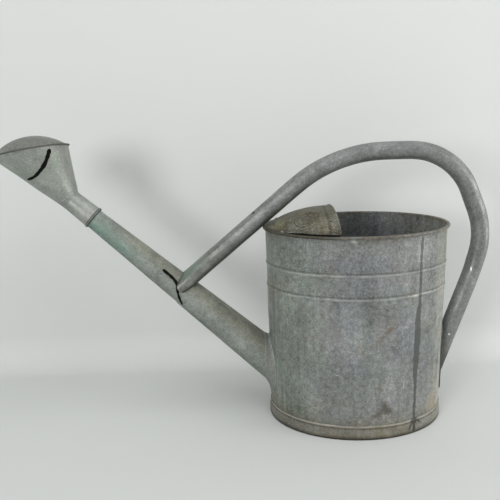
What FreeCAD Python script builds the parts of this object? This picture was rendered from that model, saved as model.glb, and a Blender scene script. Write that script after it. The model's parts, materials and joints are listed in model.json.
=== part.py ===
import FreeCAD, Part
import math
import os
import Sketcher

# A galvanised oval watering can. Millimetres, +Z up, +X towards the back of the can (the handle's lower
# end), the spout points to -X, and the XZ plane is the plane of symmetry. The origin is on the floor
# under the middle of the oval body.

SIZES = {
    # oval body
    "body_height": 291.0,
    "top_half_length": 130.0,
    "foot_half_length": 126.7,
    "oval_ratio": 0.76,
    "wall_sheet": 0.8,
    "upper_bead_height": 237.0,
    "lower_bead_height": 204.5,
    "bead_half_width": 2.6,
    "bead_rise": 1.1,
    "curl_radius": 2.3,
    "curl_end_angle": 110.0,
    "wire_play": 0.05,
    # foot and bottom
    "foot_band_height": 20.5,
    "foot_sheet": 0.9,
    "foot_flare": 1.6,
    "foot_wire_radius": 1.3,
    "foot_flat": 0.35,
    "wall_start": 3.5,
    "bottom_height": 12.0,
    "bottom_flange": 9.0,
    "bottom_play": 0.1,
    "foot_knee_drop": 7.0,
    # hood
    "hood_edge_offset": -36.0,
    "hood_sheet": 0.7,
    "hood_crown": 24.0,
    "hood_crown_radius": 182.0,
    "hood_shoulder": 76.0,
    "hood_base_radius": 84.0,
    "hood_flange_radius": 110.0,
    "hood_rim_inset": 0.5,
    "hood_wire_radius": 1.6,
    "hood_rivet_head": 3.2,
    "hood_rivet_inset": 8.0,
    "hood_rivet_spread": 89.5,
    # spout
    "spout_root_x": -132.7,
    "spout_root_height": 89.8,
    "spout_elevation": 42.1,
    "spout_root_radius": 26.7,
    "spout_taper": 0.0355,
    "spout_sheet": 0.8,
    "spout_joint": 158.0,
    "spout_lap": 14.0,
    "spout_lap_play": 0.05,
    "spout_joint_play": 0.1,
    "spout_lap_slope": 0.8,
    "spout_end": 350.0,
    "spout_inside": 60.0,
    "collar_radius": 31.5,
    "collar_sheet": 1.0,
    "collar_sleeve": 6.0,
    "port_inset": 0.6,
    # rose
    "socket_start": 327.0,
    "socket_end": 368.0,
    "socket_play": 0.3,
    "rose_sheet": 0.7,
    "mouth_ring_width": 4.0,
    "mouth_ring_radius": 17.1,
    "mouth_ring_play": 0.15,
    "mouth_ring_lip": 0.1,
    "rose_rim_along": 453.1,
    "rose_rim_rise": 17.8,
    "rose_rim_tilt": 38.6,
    "rose_rim_radius": 52.0,
    "rose_face_crown": 20.5,
    "rose_face_inset": 1.0,
    "rose_face_lift": 0.2,
    "rose_rim_roll": 1.1,
    "rose_rim_fold": 0.9,
    "rose_turned": 8.0,
    "rose_hole_radius": 0.9,
    "rose_hole_spacing": 9.4,
    "rose_hole_rings": 5,
    # handle
    "handle_radius": 12.7,
    "handle_sheet": 0.9,
    "fork_x": -256.4,
    "fork_height": 204.9,
    "strut_elevation": 39.65,
    "strut_length": 221.7,
    "front_arc": 200.0,
    "grip_length": 33.5,
    "rear_arc": 94.3,
    "rear_turn": 68.0,
    "rear_straight": 30.0,
    "back_arc": 110.0,
    "back_turn": 35.0,
    "tail_arc": 500.0,
    "tail_turn": 6.0,
    "tail_length": 140.0,
    "fork_sheet": 1.2,
    "fork_half_width": 11.6,
    "fork_drop": 2.0,
    "fork_block": 60.0,
    "back_plate_sheet": 2.0,
    "back_plate_half_width": 21.0,
    "back_plate_bottom": 33.0,
    "back_plate_top": 136.0,
    "back_plate_corner": 12.0,
    # soldered pieces of one body stand this far apart
    "contact_gap": 0.05,
    # cutting tools reach this far through a wall, and past a face
    "tool_length": 90.0,
    "tool_clear": 5.0,
}

# a chord of this many radii counts as a whole half circle
HALF_CIRCLE = 1.999
# a length under this counts as zero
NOTHING = 1e-9

EXPORTS = []


class Dim:
    """A size that carries its value and the expression that binds it to the sheet."""

    def __init__(self, value, text):
        self.value = float(value)
        self.text = text

    def __add__(self, other):
        other = dim(other)
        return Dim(self.value + other.value, f"({self.text} + {other.text})")

    def __sub__(self, other):
        other = dim(other)
        return Dim(self.value - other.value, f"({self.text} - {other.text})")

    def __mul__(self, other):
        other = dim(other)
        return Dim(self.value * other.value, f"({self.text} * {other.text})")

    def __truediv__(self, other):
        other = dim(other)
        return Dim(self.value / other.value, f"({self.text} / {other.text})")

    def __neg__(self):
        return Dim(-self.value, f"(0 - {self.text})")


def dim(number):
    if isinstance(number, Dim):
        return number
    return Dim(number, repr(float(number)))


def size(alias):
    return Dim(SIZES[alias], "Sizes." + alias)


def sine(angle):
    return Dim(math.sin(math.radians(angle.value)), f"sin({angle.text})")


def cosine(angle):
    return Dim(math.cos(math.radians(angle.value)), f"cos({angle.text})")


def root(number):
    return Dim(math.sqrt(number.value), f"sqrt({number.text})")


def bind(thing, prop, amount):
    """Set one property to a size and keep it bound to the sheet."""
    amount = dim(amount)
    setattr(thing, prop, amount.value)
    thing.setExpression(prop, amount.text)


def place(thing, x=0.0, y=0.0, z=0.0, axis=(0, 0, 1), turn=0.0):
    """Put an object at x, y, z, turned about one fixed axis, with every number bound."""
    spot = [dim(x), dim(y), dim(z)]
    turn = dim(turn)
    spin = FreeCAD.Rotation(FreeCAD.Vector(*axis), turn.value)
    thing.Placement = FreeCAD.Placement(FreeCAD.Vector(*[d.value for d in spot]), spin)
    for letter, amount in zip("xyz", spot):
        thing.setExpression(f"Placement.Base.{letter}", amount.text)
    if turn.value:
        thing.setExpression("Placement.Rotation.Angle", turn.text)


def make_sheet(doc):
    sheet = doc.addObject("Spreadsheet::Sheet", "Sizes")
    for row, (alias, number) in enumerate(SIZES.items(), start=1):
        sheet.set(f"A{row}", alias)
        sheet.set(f"B{row}", str(number))
        sheet.setAlias(f"B{row}", alias)
    doc.recompute()


def origin_plane(body, role):
    return next(item for item in body.Origin.OriginFeatures if item.Role == role)


def new_sketch(body, name, role, offset=0.0):
    sketch = body.newObject("Sketcher::SketchObject", name)
    sketch.AttachmentSupport = [(origin_plane(body, role), "")]
    sketch.MapMode = "FlatFace"
    offset = dim(offset)
    if offset.value:
        sketch.AttachmentOffset = FreeCAD.Placement(FreeCAD.Vector(0, 0, offset.value), FreeCAD.Rotation())
        sketch.setExpression("AttachmentOffset.Base.z", offset.text)
    return sketch


def pin(sketch, edge, end, spot):
    """Hold one end of an edge at its distances from the sketch's origin."""
    across = -2
    along = -1
    for kind, axis, amount in (("DistanceX", across, spot[0]), ("DistanceY", along, spot[1])):
        if abs(amount.value) < NOTHING:
            sketch.addConstraint(Sketcher.Constraint("PointOnObject", edge, end, axis))
            continue
        ends = (-1, 1, edge, end)
        if amount.value < 0:
            ends = (edge, end, -1, 1)
            amount = -amount
        row = sketch.addConstraint(Sketcher.Constraint(kind, *ends, amount.value))
        sketch.setExpression(f"Constraints[{row}]", amount.text)


def hold_radius(sketch, edge, radius):
    row = sketch.addConstraint(Sketcher.Constraint("Radius", edge, radius.value))
    sketch.setExpression(f"Constraints[{row}]", radius.text)


def left_turning_arc(first, last, radius, centre, through):
    """The arc between two corners on the side of the direction through, drawn anticlockwise."""
    hub = FreeCAD.Vector(dim(centre[0]).value, dim(centre[1]).value, 0)
    circle = Part.Circle(hub, FreeCAD.Vector(0, 0, 1), dim(radius).value)
    full = 2 * math.pi
    start = math.atan2(first.y - hub.y, first.x - hub.x)
    stop = math.atan2(last.y - hub.y, last.x - hub.x)
    middle = math.atan2(through[1], through[0])
    if (middle - start) % full > (stop - start) % full:
        start, stop = stop, start
    return Part.ArcOfCircle(circle, start, start + (stop - start) % full)


def outline(body, name, role, corners, arcs=None, closed=True, offset=0.0):
    """A sketch through corners; arcs maps a corner's number to the (radius, centre) of the arc after it."""
    sketch = new_sketch(body, name, role, offset)
    arcs = arcs or {}
    corners = [(dim(u), dim(v)) for u, v in corners]
    spots = [FreeCAD.Vector(u.value, v.value, 0) for u, v in corners]
    count = len(spots) if closed else len(spots) - 1
    for i in range(count):
        first = spots[i]
        last = spots[(i + 1) % len(spots)]
        if i in arcs:
            sketch.addGeometry(left_turning_arc(first, last, *arcs[i]), False)
        else:
            sketch.addGeometry(Part.LineSegment(first, last), False)
    for i in range(count):
        start_point = 1
        if i in arcs:
            arc = sketch.Geometry[i]
            if arc.StartPoint.distanceToPoint(spots[i]) > arc.EndPoint.distanceToPoint(spots[i]):
                start_point = 2
            radius = dim(arcs[i][0])
            chord = spots[i].distanceToPoint(spots[(i + 1) % len(spots)])
            if chord < HALF_CIRCLE * radius.value:
                hold_radius(sketch, i, radius)
        pin(sketch, i, start_point, corners[i])
        join_next(sketch, i, count, closed, spots)
    if not closed:
        end_point = far_end(sketch, count - 1, spots[-1])
        pin(sketch, count - 1, end_point, corners[-1])
    return sketch


def far_end(sketch, edge, spot):
    line = sketch.Geometry[edge]
    if line.EndPoint.distanceToPoint(spot) < line.StartPoint.distanceToPoint(spot):
        return 2
    return 1


def join_next(sketch, edge, count, closed, spots):
    following = edge + 1
    if following == count and not closed:
        return
    following = following % count
    meeting = spots[(edge + 1) % len(spots)]
    here = far_end(sketch, edge, meeting)
    there = far_end(sketch, following, meeting)
    sketch.addConstraint(Sketcher.Constraint("Coincident", edge, here, following, there))


def new_body(doc, name):
    return doc.addObject("PartDesign::Body", name)


def revolve(body, sketch, turn=360.0, symmetric=False):
    """Turn a profile about the body's own Z axis."""
    feature = body.newObject("PartDesign::Revolution", sketch.Name + "Turn")
    feature.Profile = sketch
    feature.ReferenceAxis = (origin_axis(body, "Z_Axis"), [""])
    feature.Midplane = symmetric
    feature.Angle = turn
    sketch.Visibility = False
    return feature


def origin_axis(body, role):
    return next(item for item in body.Origin.OriginFeatures if item.Role == role)


def export(thing, name):
    thing.Label = name
    EXPORTS.append(thing)
    return thing


def squash_to_oval(doc, round_piece, name):
    """Turn a round piece into the can's oval."""
    oval = doc.addObject("Part::Scale", name)
    oval.Base = round_piece
    oval.Uniform = False
    bind(oval, "XScale", 1.0)
    bind(oval, "YScale", size("oval_ratio"))
    bind(oval, "ZScale", 1.0)
    return oval


def subtract(doc, base, tool, name):
    cut = doc.addObject("Part::Cut", name)
    cut.Base = base
    cut.Tool = tool
    return cut


def unite(doc, base, tool, name):
    fused = doc.addObject("Part::Fuse", name)
    fused.Base = base
    fused.Tool = tool
    return fused


def intersect(doc, base, tool, name):
    common = doc.addObject("Part::Common", name)
    common.Base = base
    common.Tool = tool
    return common


def wall_radius(height):
    """The outer half length of the oval wall at a height."""
    slope = (size("top_half_length") - size("foot_half_length")) / size("body_height")
    return size("foot_half_length") + slope * height


def wall_core(doc, name, grow):
    """The solid inside the oval wall's outer face, grown outwards evenly."""
    grow = dim(grow)
    cone = doc.addObject("Part::Cone", name + "Cone")
    bind(cone, "Radius1", wall_radius(dim(0)) + grow)
    bind(cone, "Radius2", wall_radius(size("body_height")) + grow)
    bind(cone, "Height", size("body_height"))
    core = doc.addObject("Part::Scale", name)
    core.Base = cone
    core.Uniform = False
    length = size("top_half_length")
    bind(core, "XScale", 1.0)
    bind(core, "YScale", (length * size("oval_ratio") + grow) / (length + grow))
    bind(core, "ZScale", 1.0)
    return core


def spout_radius(along):
    """The spout's outer radius at a distance along its axis."""
    return size("spout_root_radius") - size("spout_taper") * along


def on_spout(thing, along=0.0):
    """Stand an object's Z axis on the spout's axis, at a distance from the root."""
    along = dim(along)
    lean = size("spout_elevation") - 90.0
    place(
        thing,
        size("spout_root_x") - cosine(size("spout_elevation")) * along,
        0.0,
        size("spout_root_height") + sine(size("spout_elevation")) * along,
        (0, 1, 0),
        lean,
    )


def spout_cone(doc, name, grow, start=0.0):
    """The spout's outer face as a solid cone from start to its tip, grown outwards."""
    cone = doc.addObject("Part::Cone", name)
    start = dim(start)
    end = size("spout_end")
    bind(cone, "Radius1", spout_radius(start) + grow)
    bind(cone, "Radius2", spout_radius(end) + grow)
    bind(cone, "Height", end - start)
    on_spout(cone, start)
    return cone


def tapered_tube(doc, name, start, end, outer_start, outer_end, sheet):
    """A conical tube about the spout's axis."""
    body = new_body(doc, name)
    corners = [
        (outer_start - sheet, start),
        (outer_start, start),
        (outer_end, end),
        (outer_end - sheet, end),
    ]
    revolve(body, outline(body, name + "Wall", "XZ_Plane", corners))
    on_spout(body)
    return body


def bead_corners(height, side):
    """The two ends of a bead on the outer (side 0) or inner (side 1) face, from the bottom up."""
    half = size("bead_half_width")
    inset = size("wall_sheet") * side
    return [
        (wall_radius(height - half) - inset, height - half),
        (wall_radius(height + half) - inset, height + half),
    ]


def bead_arc(height, side):
    """Radius, centre and direction of the arc that swells the wall into a bead."""
    half = size("bead_half_width")
    rise = size("bead_rise")
    radius = (half * half + rise * rise) / (rise * 2.0)
    inset = size("wall_sheet") * side
    centre = (wall_radius(height) - inset + rise - radius, height)
    return (radius, centre, (1, 0))


def build_body_shell(doc):
    """The wall: one sheet, beaded twice, its top edge curled over a wire."""
    body = new_body(doc, "WallBlank")
    curl = size("curl_radius")
    sheet = size("wall_sheet")
    top = size("body_height") - curl
    rim = wall_radius(top)
    hub = (rim - sheet + curl, top)
    tip = cosine(size("curl_end_angle"))
    drop = sine(size("curl_end_angle"))
    bore = curl - sheet
    lower = size("lower_bead_height")
    upper = size("upper_bead_height")
    start = size("wall_start")
    outer = [(wall_radius(start), start)] + bead_corners(lower, 0) + bead_corners(upper, 0)
    curled = [
        (rim, top),
        (hub[0] + tip * bore, hub[1] - drop * bore),
        (hub[0] + tip * curl, hub[1] - drop * curl),
        (rim - sheet, top),
    ]
    inner = bead_corners(upper, 1)[::-1] + bead_corners(lower, 1)[::-1]
    corners = outer + curled + inner + [(wall_radius(start) - sheet, start)]
    over = (1, 1)
    arcs = {
        1: bead_arc(lower, 0),
        3: bead_arc(upper, 0),
        5: (bore, hub, over),
        7: (curl, hub, over),
        9: bead_arc(upper, 1),
        11: bead_arc(lower, 1),
    }
    revolve(body, outline(body, "WallProfile", "XZ_Plane", corners, arcs))
    oval = squash_to_oval(doc, body, "WallOval")
    bore_tool = doc.addObject("Part::Cylinder", "SpoutPort")
    bind(bore_tool, "Radius", size("spout_root_radius") - size("spout_sheet") - size("port_inset"))
    bind(bore_tool, "Height", size("tool_length"))
    on_spout(bore_tool, size("tool_length") * -0.5)
    return export(subtract(doc, oval, bore_tool, "BodyShell"), "body_shell")


def oval_ring(doc, name, centre_radius, height, wire):
    """A wire bent to the can's oval."""
    body = new_body(doc, name + "Round")
    sketch = new_sketch(body, name + "Section", "XZ_Plane")
    centre = FreeCAD.Vector(centre_radius.value, height.value, 0)
    sketch.addGeometry(Part.Circle(centre, FreeCAD.Vector(0, 0, 1), wire.value), False)
    pin(sketch, 0, 3, (centre_radius, height))
    hold_radius(sketch, 0, wire)
    revolve(body, sketch)
    return squash_to_oval(doc, body, name)


def build_rim_wire(doc):
    curl = size("curl_radius")
    sheet = size("wall_sheet")
    top = size("body_height") - curl
    # the squash thins the curl's bore across Y, so the wire is sized for the thin side
    wire = curl - sheet - size("wire_play")
    export(oval_ring(doc, "RimWire", wall_radius(top) - sheet + curl, top, wire), "rim_wire")


def build_foot(doc):
    """The band round the foot, its lower edge curled over a wire, and that wire."""
    sheet = size("foot_sheet")
    wire = size("foot_wire_radius") + sheet
    inner = wall_radius(size("foot_band_height")) + size("contact_gap")
    low = wall_radius(dim(0)) + size("foot_flare")
    top = size("foot_band_height")
    knee = top - size("foot_knee_drop")
    rest = wire - size("foot_flat")
    hub = (low + sheet - wire, rest)
    body = new_body(doc, "FootBandRound")
    bore = wire - sheet
    corners = [
        (hub[0] + wire, rest),
        (low + sheet, knee),
        (inner + sheet, top),
        (inner, top),
        (low, knee),
        (hub[0] + bore, rest),
        (hub[0], rest - bore),
        (hub[0], rest - wire),
    ]
    arcs = {5: (bore, hub, (1, -1)), 7: (wire, hub, (1, -1))}
    revolve(body, outline(body, "FootBandProfile", "XZ_Plane", corners, arcs))
    oval = squash_to_oval(doc, body, "FootBandOval")
    floor = doc.addObject("Part::Box", "FloorCut")
    span = size("top_half_length") * 4.0
    bind(floor, "Length", span)
    bind(floor, "Width", span)
    bind(floor, "Height", size("tool_clear"))
    place(floor, span * -0.5, span * -0.5, -size("tool_clear"))
    export(subtract(doc, oval, floor, "FootBand"), "foot_band")
    export(oval_ring(doc, "FootWire", hub[0], hub[1], bore - size("wire_play")), "foot_wire")


def build_bottom(doc):
    """The bottom: a raised oval plate with a flange turned down inside the wall."""
    sheet = size("wall_sheet")
    top = size("bottom_height")
    low = top - size("bottom_flange")
    fit = wall_radius(low) - sheet - size("bottom_play")
    body = new_body(doc, "BottomRound")
    corners = [
        (0.0, top - sheet),
        (fit - sheet, top - sheet),
        (fit - sheet, low),
        (fit, low),
        (fit, top),
        (0.0, top),
    ]
    revolve(body, outline(body, "BottomProfile", "XZ_Plane", corners))
    export(squash_to_oval(doc, body, "BottomPlate"), "bottom_plate")


def hood_profile(base, drop):
    """The crown arc of the hood, lowered by drop: its centre and its corners from the axis outwards."""
    radius = size("hood_crown_radius") - drop
    hub = (dim(0), base + size("hood_crown") - size("hood_crown_radius"))
    shoulder = size("hood_shoulder")
    fall = root(radius * radius - shoulder * shoulder)
    corners = [
        (dim(0), hub[1] + radius),
        (-shoulder, hub[1] + fall),
    ]
    return radius, hub, corners


def build_hood(doc):
    """The half cover over the spout side: a flat flange on the rim and a low dome, open at the back."""
    base = size("body_height") + size("contact_gap") + size("hood_sheet")
    sheet = size("hood_sheet")
    radius, hub, upper = hood_profile(base, dim(0))
    inner_radius, inner_hub, lower = hood_profile(base, sheet)
    foot = size("hood_base_radius")
    edge = size("hood_flange_radius")
    corners = upper + [
        (-foot, base),
        (-edge, base),
        (-edge, base - sheet),
        (-foot + sheet * 0.5, base - sheet),
    ] + lower[::-1]
    arcs = {0: (radius, hub, (-0.2, 1)), 6: (inner_radius, inner_hub, (-0.2, 1))}
    body = new_body(doc, "HoodBlank")
    revolve(body, outline(body, "HoodProfile", "XZ_Plane", corners, arcs), 180.0, True)
    place(body, size("hood_edge_offset"))
    oval = doc.addObject("Part::Cylinder", "HoodTrimRound")
    bind(oval, "Radius", size("top_half_length") - size("hood_rim_inset"))
    bind(oval, "Height", size("tool_length"))
    trim = squash_to_oval(doc, oval, "HoodTrim")
    place(trim, z=size("body_height") - size("tool_clear"))
    return export(intersect(doc, body, trim, "Hood"), "hood")


def build_hood_wire(doc):
    """The round wire that stiffens the hood's open edge, from rim to rim."""
    wire = size("hood_wire_radius")
    base = size("body_height") + size("contact_gap") + size("hood_sheet")
    radius, hub, upper = hood_profile(base, dim(0))
    shoulder = upper[1]
    foot = size("hood_base_radius")
    knee = (foot, base + wire)
    body = new_body(doc, "HoodWire")
    path = [(-knee[0], knee[1]), shoulder, (-shoulder[0], shoulder[1]), knee]
    spine = outline(body, "HoodWirePath", "YZ_Plane", path, {1: (radius, hub, (0, 1))}, closed=False)
    lean = math.degrees(math.atan2(knee[0].value + shoulder[0].value, shoulder[1].value - knee[1].value))
    section = body.newObject("Sketcher::SketchObject", "HoodWireSection")
    section.AttachmentSupport = [(origin_plane(body, "XY_Plane"), "")]
    section.MapMode = "FlatFace"
    start = FreeCAD.Vector(0, -knee[0].value, knee[1].value)
    section.AttachmentOffset = FreeCAD.Placement(start, FreeCAD.Rotation(FreeCAD.Vector(1, 0, 0), -lean))
    section.addGeometry(Part.Circle(FreeCAD.Vector(0, 0, 0), FreeCAD.Vector(0, 0, 1), wire.value), False)
    hold_radius(section, 0, wire)
    section.addConstraint(Sketcher.Constraint("Coincident", 0, 3, -1, 1))
    pipe = body.newObject("PartDesign::AdditivePipe", "HoodWirePipe")
    pipe.Profile = section
    pipe.Spine = spine
    pipe.Transition = "Round corner"
    place(body, size("hood_edge_offset") + wire)
    return export(body, "hood_edge_wire")


def build_hood_rivets(doc):
    """A dome-headed rivet at each foot of the hood, through its flange."""
    rivets = []
    for number, side in enumerate((-1, 1)):
        head = doc.addObject("Part::Sphere", f"HoodRivet{number}")
        bind(head, "Radius", size("hood_rivet_head"))
        bind(head, "Angle1", 0.0)
        place(
            head,
            size("hood_edge_offset") - size("hood_rivet_inset"),
            size("hood_rivet_spread") * side,
            size("body_height") + size("contact_gap") + size("hood_sheet"),
        )
        rivets.append(head)
    group = doc.addObject("Part::Compound", "HoodRivets")
    group.Links = rivets
    return export(group, "hood_rivets")


def build_spout(doc):
    """The lower and upper lengths of the spout, lapped together under the handle's fork."""
    sheet = size("spout_sheet")
    joint = size("spout_joint")
    lap = size("spout_lap")
    inside = -size("spout_inside")
    lower = tapered_tube(
        doc, "SpoutLowerBlank", inside, joint, spout_radius(inside), spout_radius(joint), sheet
    )
    core = wall_core(doc, "SpoutRootCore", size("contact_gap"))
    export(subtract(doc, lower, core, "SpoutLower"), "spout_lower")
    body = new_body(doc, "SpoutUpper")
    tuck = sheet + size("spout_lap_play")
    tail = joint - lap
    step = joint + size("spout_joint_play")
    slope = size("spout_lap_slope")
    end = size("spout_end")
    corners = [
        (spout_radius(tail) - tuck - sheet, tail),
        (spout_radius(tail) - tuck, tail),
        (spout_radius(joint) - tuck, step),
        (spout_radius(joint), step),
        (spout_radius(end), end),
        (spout_radius(end) - sheet, end),
        (spout_radius(joint) - sheet, step + slope),
        (spout_radius(joint) - tuck - sheet, step - slope),
    ]
    revolve(body, outline(body, "SpoutUpperWall", "XZ_Plane", corners))
    on_spout(body)
    export(body, "spout_upper")


def build_spout_collar(doc):
    """The collar at the spout's root: a flange on the wall that turns up round the tube."""
    gap = size("contact_gap")
    thick = size("collar_sheet") + gap
    disc = doc.addObject("Part::Cylinder", "CollarDisc")
    bind(disc, "Radius", size("collar_radius"))
    bind(disc, "Height", size("tool_length"))
    on_spout(disc, size("tool_length") * -0.5)
    flange = intersect(doc, wall_core(doc, "CollarOuter", thick), disc, "CollarFlange")
    root_start = -size("spout_inside")
    sleeve_cone = spout_cone(doc, "CollarSleeveCone", thick, root_start)
    reach = wall_core(doc, "CollarReach", size("collar_sleeve"))
    sleeve = intersect(doc, reach, sleeve_cone, "CollarSleeve")
    joined = unite(doc, flange, sleeve, "CollarJoined")
    hollow = subtract(doc, joined, wall_core(doc, "CollarInner", gap), "CollarHollow")
    bore = spout_cone(doc, "CollarBore", gap, root_start)
    return export(subtract(doc, hollow, bore, "SpoutCollar"), "spout_collar")


def build_rose_socket(doc):
    """The neck that slips over the spout's tip, and the ring round its mouth."""
    start = size("socket_start")
    end = size("socket_end")
    sheet = size("rose_sheet")
    swell = size("socket_play") + sheet
    socket = tapered_tube(
        doc, "RoseSocket", start, end, spout_radius(start) + swell, spout_radius(end) + swell, sheet
    )
    export(socket, "rose_socket")
    body = new_body(doc, "RoseMouthRing")
    width = size("mouth_ring_width")
    inner = spout_radius(start) + swell + size("mouth_ring_play")
    outer = size("mouth_ring_radius")
    swell_radius = (width * width * 0.25 + (outer - inner) * (outer - inner)) / ((outer - inner) * 2.0)
    hub = (outer - swell_radius, start + width * 0.5)
    edge = inner + size("mouth_ring_lip")
    half = root(swell_radius * swell_radius - (edge - hub[0]) * (edge - hub[0]))
    corners = [
        (inner, hub[1] - half),
        (edge, hub[1] - half),
        (edge, hub[1] + half),
        (inner, hub[1] + half),
    ]
    revolve(body, outline(body, "MouthRingProfile", "XZ_Plane", corners, {1: (swell_radius, hub, (1, 0))}))
    on_spout(body)
    export(body, "rose_mouth_ring")


def rose_frame(along, rise, tilt):
    """A placement in the rose: along and above the spout's axis, tilted up, then the whole rose turned."""
    elevation = math.radians(SIZES["spout_elevation"])
    axis = FreeCAD.Vector(-math.cos(elevation), 0, math.sin(elevation))
    foot = FreeCAD.Vector(SIZES["spout_root_x"], 0, SIZES["spout_root_height"])
    stand = FreeCAD.Rotation(FreeCAD.Vector(0, 1, 0), SIZES["spout_elevation"] - 90)
    twist = FreeCAD.Rotation(axis, SIZES["rose_turned"])
    spin = twist.multiply(stand).multiply(FreeCAD.Rotation(FreeCAD.Vector(0, 1, 0), tilt))
    local = FreeCAD.Vector(rise, 0, along)
    return FreeCAD.Placement(foot + twist.multVec(stand.multVec(local)), spin)


def rose_solid(doc, name, start, inset):
    """The oblique funnel between the neck and the rim, as a solid, inset evenly."""
    rings = []
    neck = spout_radius(size("socket_end")) + size("socket_play") + size("rose_sheet") - inset
    rim = size("rose_rim_radius") - inset
    frames = [
        (neck, rose_frame(start, 0.0, 0.0)),
        (rim, rose_frame(SIZES["rose_rim_along"], SIZES["rose_rim_rise"], SIZES["rose_rim_tilt"])),
    ]
    for number, (radius, frame) in enumerate(frames):
        ring = doc.addObject("Part::Circle", f"{name}Ring{number}")
        bind(ring, "Radius", radius)
        ring.Placement = frame
        rings.append(ring)
    loft = doc.addObject("Part::Loft", name)
    loft.Sections = rings
    loft.Solid = True
    loft.Ruled = True
    return loft


def build_rose_cone(doc):
    outer = rose_solid(doc, "RoseConeOuter", SIZES["socket_end"] + SIZES["contact_gap"], dim(0))
    inner = rose_solid(doc, "RoseConeInner", SIZES["socket_end"] + SIZES["contact_gap"], size("rose_sheet"))
    return export(subtract(doc, outer, inner, "RoseCone"), "rose_cone")


def rim_placement(thing):
    thing.Placement = rose_frame(
        SIZES["rose_rim_along"], SIZES["rose_rim_rise"], SIZES["rose_rim_tilt"]
    )


def build_rose_face(doc):
    """The domed face, drilled in rings of small holes."""
    sheet = size("rose_sheet")
    rim = size("rose_rim_radius") - size("rose_face_inset")
    crown = size("rose_face_crown")
    radius = (rim * rim + crown * crown) / (crown * 2.0)
    inner = radius - sheet
    hub = (dim(0), crown - radius + size("rose_face_lift"))
    inner_rim = root(inner * inner - hub[1] * hub[1])
    body = new_body(doc, "RoseFace")
    outer_rim = root(radius * radius - hub[1] * hub[1])
    corners = [(0.0, hub[1] + inner), (0.0, hub[1] + radius), (outer_rim, 0.0), (inner_rim, 0.0)]
    arcs = {1: (radius, hub, (0.5, 1)), 3: (inner, hub, (0.5, 1))}
    revolve(body, outline(body, "RoseFaceProfile", "XZ_Plane", corners, arcs))
    doc.recompute()
    drill_rings(doc, body)
    rim_placement(body)
    return export(body, "rose_face")


def drill_rings(doc, body):
    hole = size("rose_hole_radius")
    for ring in range(int(SIZES["rose_hole_rings"]) + 1):
        sketch = new_sketch(body, f"HoleSketch{ring}", "XY_Plane")
        out = size("rose_hole_spacing") * float(ring)
        spot = FreeCAD.Vector(out.value, 0, 0)
        sketch.addGeometry(Part.Circle(spot, FreeCAD.Vector(0, 0, 1), hole.value), False)
        pin(sketch, 0, 3, (out, dim(0)))
        hold_radius(sketch, 0, hole)
        before = body.Shape.Volume
        pocket = body.newObject("PartDesign::Pocket", f"Hole{ring}")
        pocket.Profile = sketch
        pocket.Type = "ThroughAll"
        pocket.Midplane = True
        doc.recompute()
        if body.Shape.Volume >= before:
            raise RuntimeError("a hole of the rose cut nothing")
        if ring:
            pattern = body.newObject("PartDesign::PolarPattern", f"HoleRing{ring}")
            pattern.Originals = [pocket]
            pattern.Axis = (origin_axis(body, "Z_Axis"), [""])
            pattern.Angle = 360.0
            pattern.Occurrences = 6 * ring
            body.Tip = pattern
            doc.recompute()


def build_rose_rim(doc):
    """The folded seam that clamps the face to the funnel."""
    roll = size("rose_rim_roll")
    body = new_body(doc, "RoseRim")
    rim = size("rose_rim_radius")
    gap = size("contact_gap")
    fold = rim + size("rose_rim_fold")
    clear = rim - size("rose_face_inset") + size("rose_face_lift")
    corners = [
        (rim + gap, -roll),
        (fold, -roll),
        (fold, roll),
        (clear, roll),
        (clear, gap),
        (rim + gap, gap),
    ]
    arcs = {1: (roll, (fold, dim(0)), (1, 0))}
    revolve(body, outline(body, "RoseRimProfile", "XZ_Plane", corners, arcs))
    rim_placement(body)
    return export(body, "rose_rim")


def handle_path():
    """Corners of the handle's centre line in the strut's own frame, with its arcs."""
    steps = [
        ("line", size("strut_length"), dim(0)),
        ("arc", size("front_arc"), size("strut_elevation")),
        ("line", size("grip_length"), dim(0)),
        ("arc", size("rear_arc"), size("rear_turn")),
        ("line", size("rear_straight"), dim(0)),
        ("arc", size("back_arc"), size("back_turn")),
        ("arc", size("tail_arc"), size("tail_turn")),
        ("line", size("tail_length"), dim(0)),
    ]
    spot = (dim(0), dim(0))
    heading = dim(0)
    corners = [spot]
    arcs = {}
    for number, (kind, amount, turn) in enumerate(steps):
        if kind == "line":
            spot = (spot[0] + cosine(heading) * amount, spot[1] + sine(heading) * amount)
        else:
            hub = (spot[0] + sine(heading) * amount, spot[1] - cosine(heading) * amount)
            middle = math.radians(heading.value + 90 - turn.value / 2)
            heading = heading - turn
            spot = (hub[0] - sine(heading) * amount, hub[1] + cosine(heading) * amount)
            arcs[number] = (amount, hub, (math.cos(middle), math.sin(middle)))
        corners.append(spot)
    return corners, arcs


def build_handle(doc):
    """The handle: one rolled tube, its front end forked over the spout, its tail on the back plate."""
    body = new_body(doc, "HandleBlank")
    corners, arcs = handle_path()
    path = outline(body, "HandlePath", "XZ_Plane", corners, arcs, closed=False)
    section = new_sketch(body, "HandleSection", "YZ_Plane")
    for number, radius in enumerate((size("handle_radius"), size("handle_radius") - size("handle_sheet"))):
        circle = Part.Circle(FreeCAD.Vector(0, 0, 0), FreeCAD.Vector(0, 0, 1), radius.value)
        section.addGeometry(circle, False)
        section.addConstraint(Sketcher.Constraint("Coincident", number, 3, -1, 1))
        hold_radius(section, number, radius)
    pipe = body.newObject("PartDesign::AdditivePipe", "HandlePipe")
    pipe.Profile = section
    pipe.Spine = path
    place(body, size("fork_x"), 0.0, size("fork_height"), (0, 1, 0), -size("strut_elevation"))
    gap = size("contact_gap")
    core = wall_core(doc, "HandleWallCore", size("back_plate_sheet") + gap * 2.0)
    tail_cut = subtract(doc, body, core, "HandleTailCut")
    seated = subtract(doc, tail_cut, spout_cone(doc, "HandleSeat", gap), "HandleSeated")
    return export(unite(doc, seated, handle_fork(doc), "HandleTube"), "handle_tube")


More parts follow.
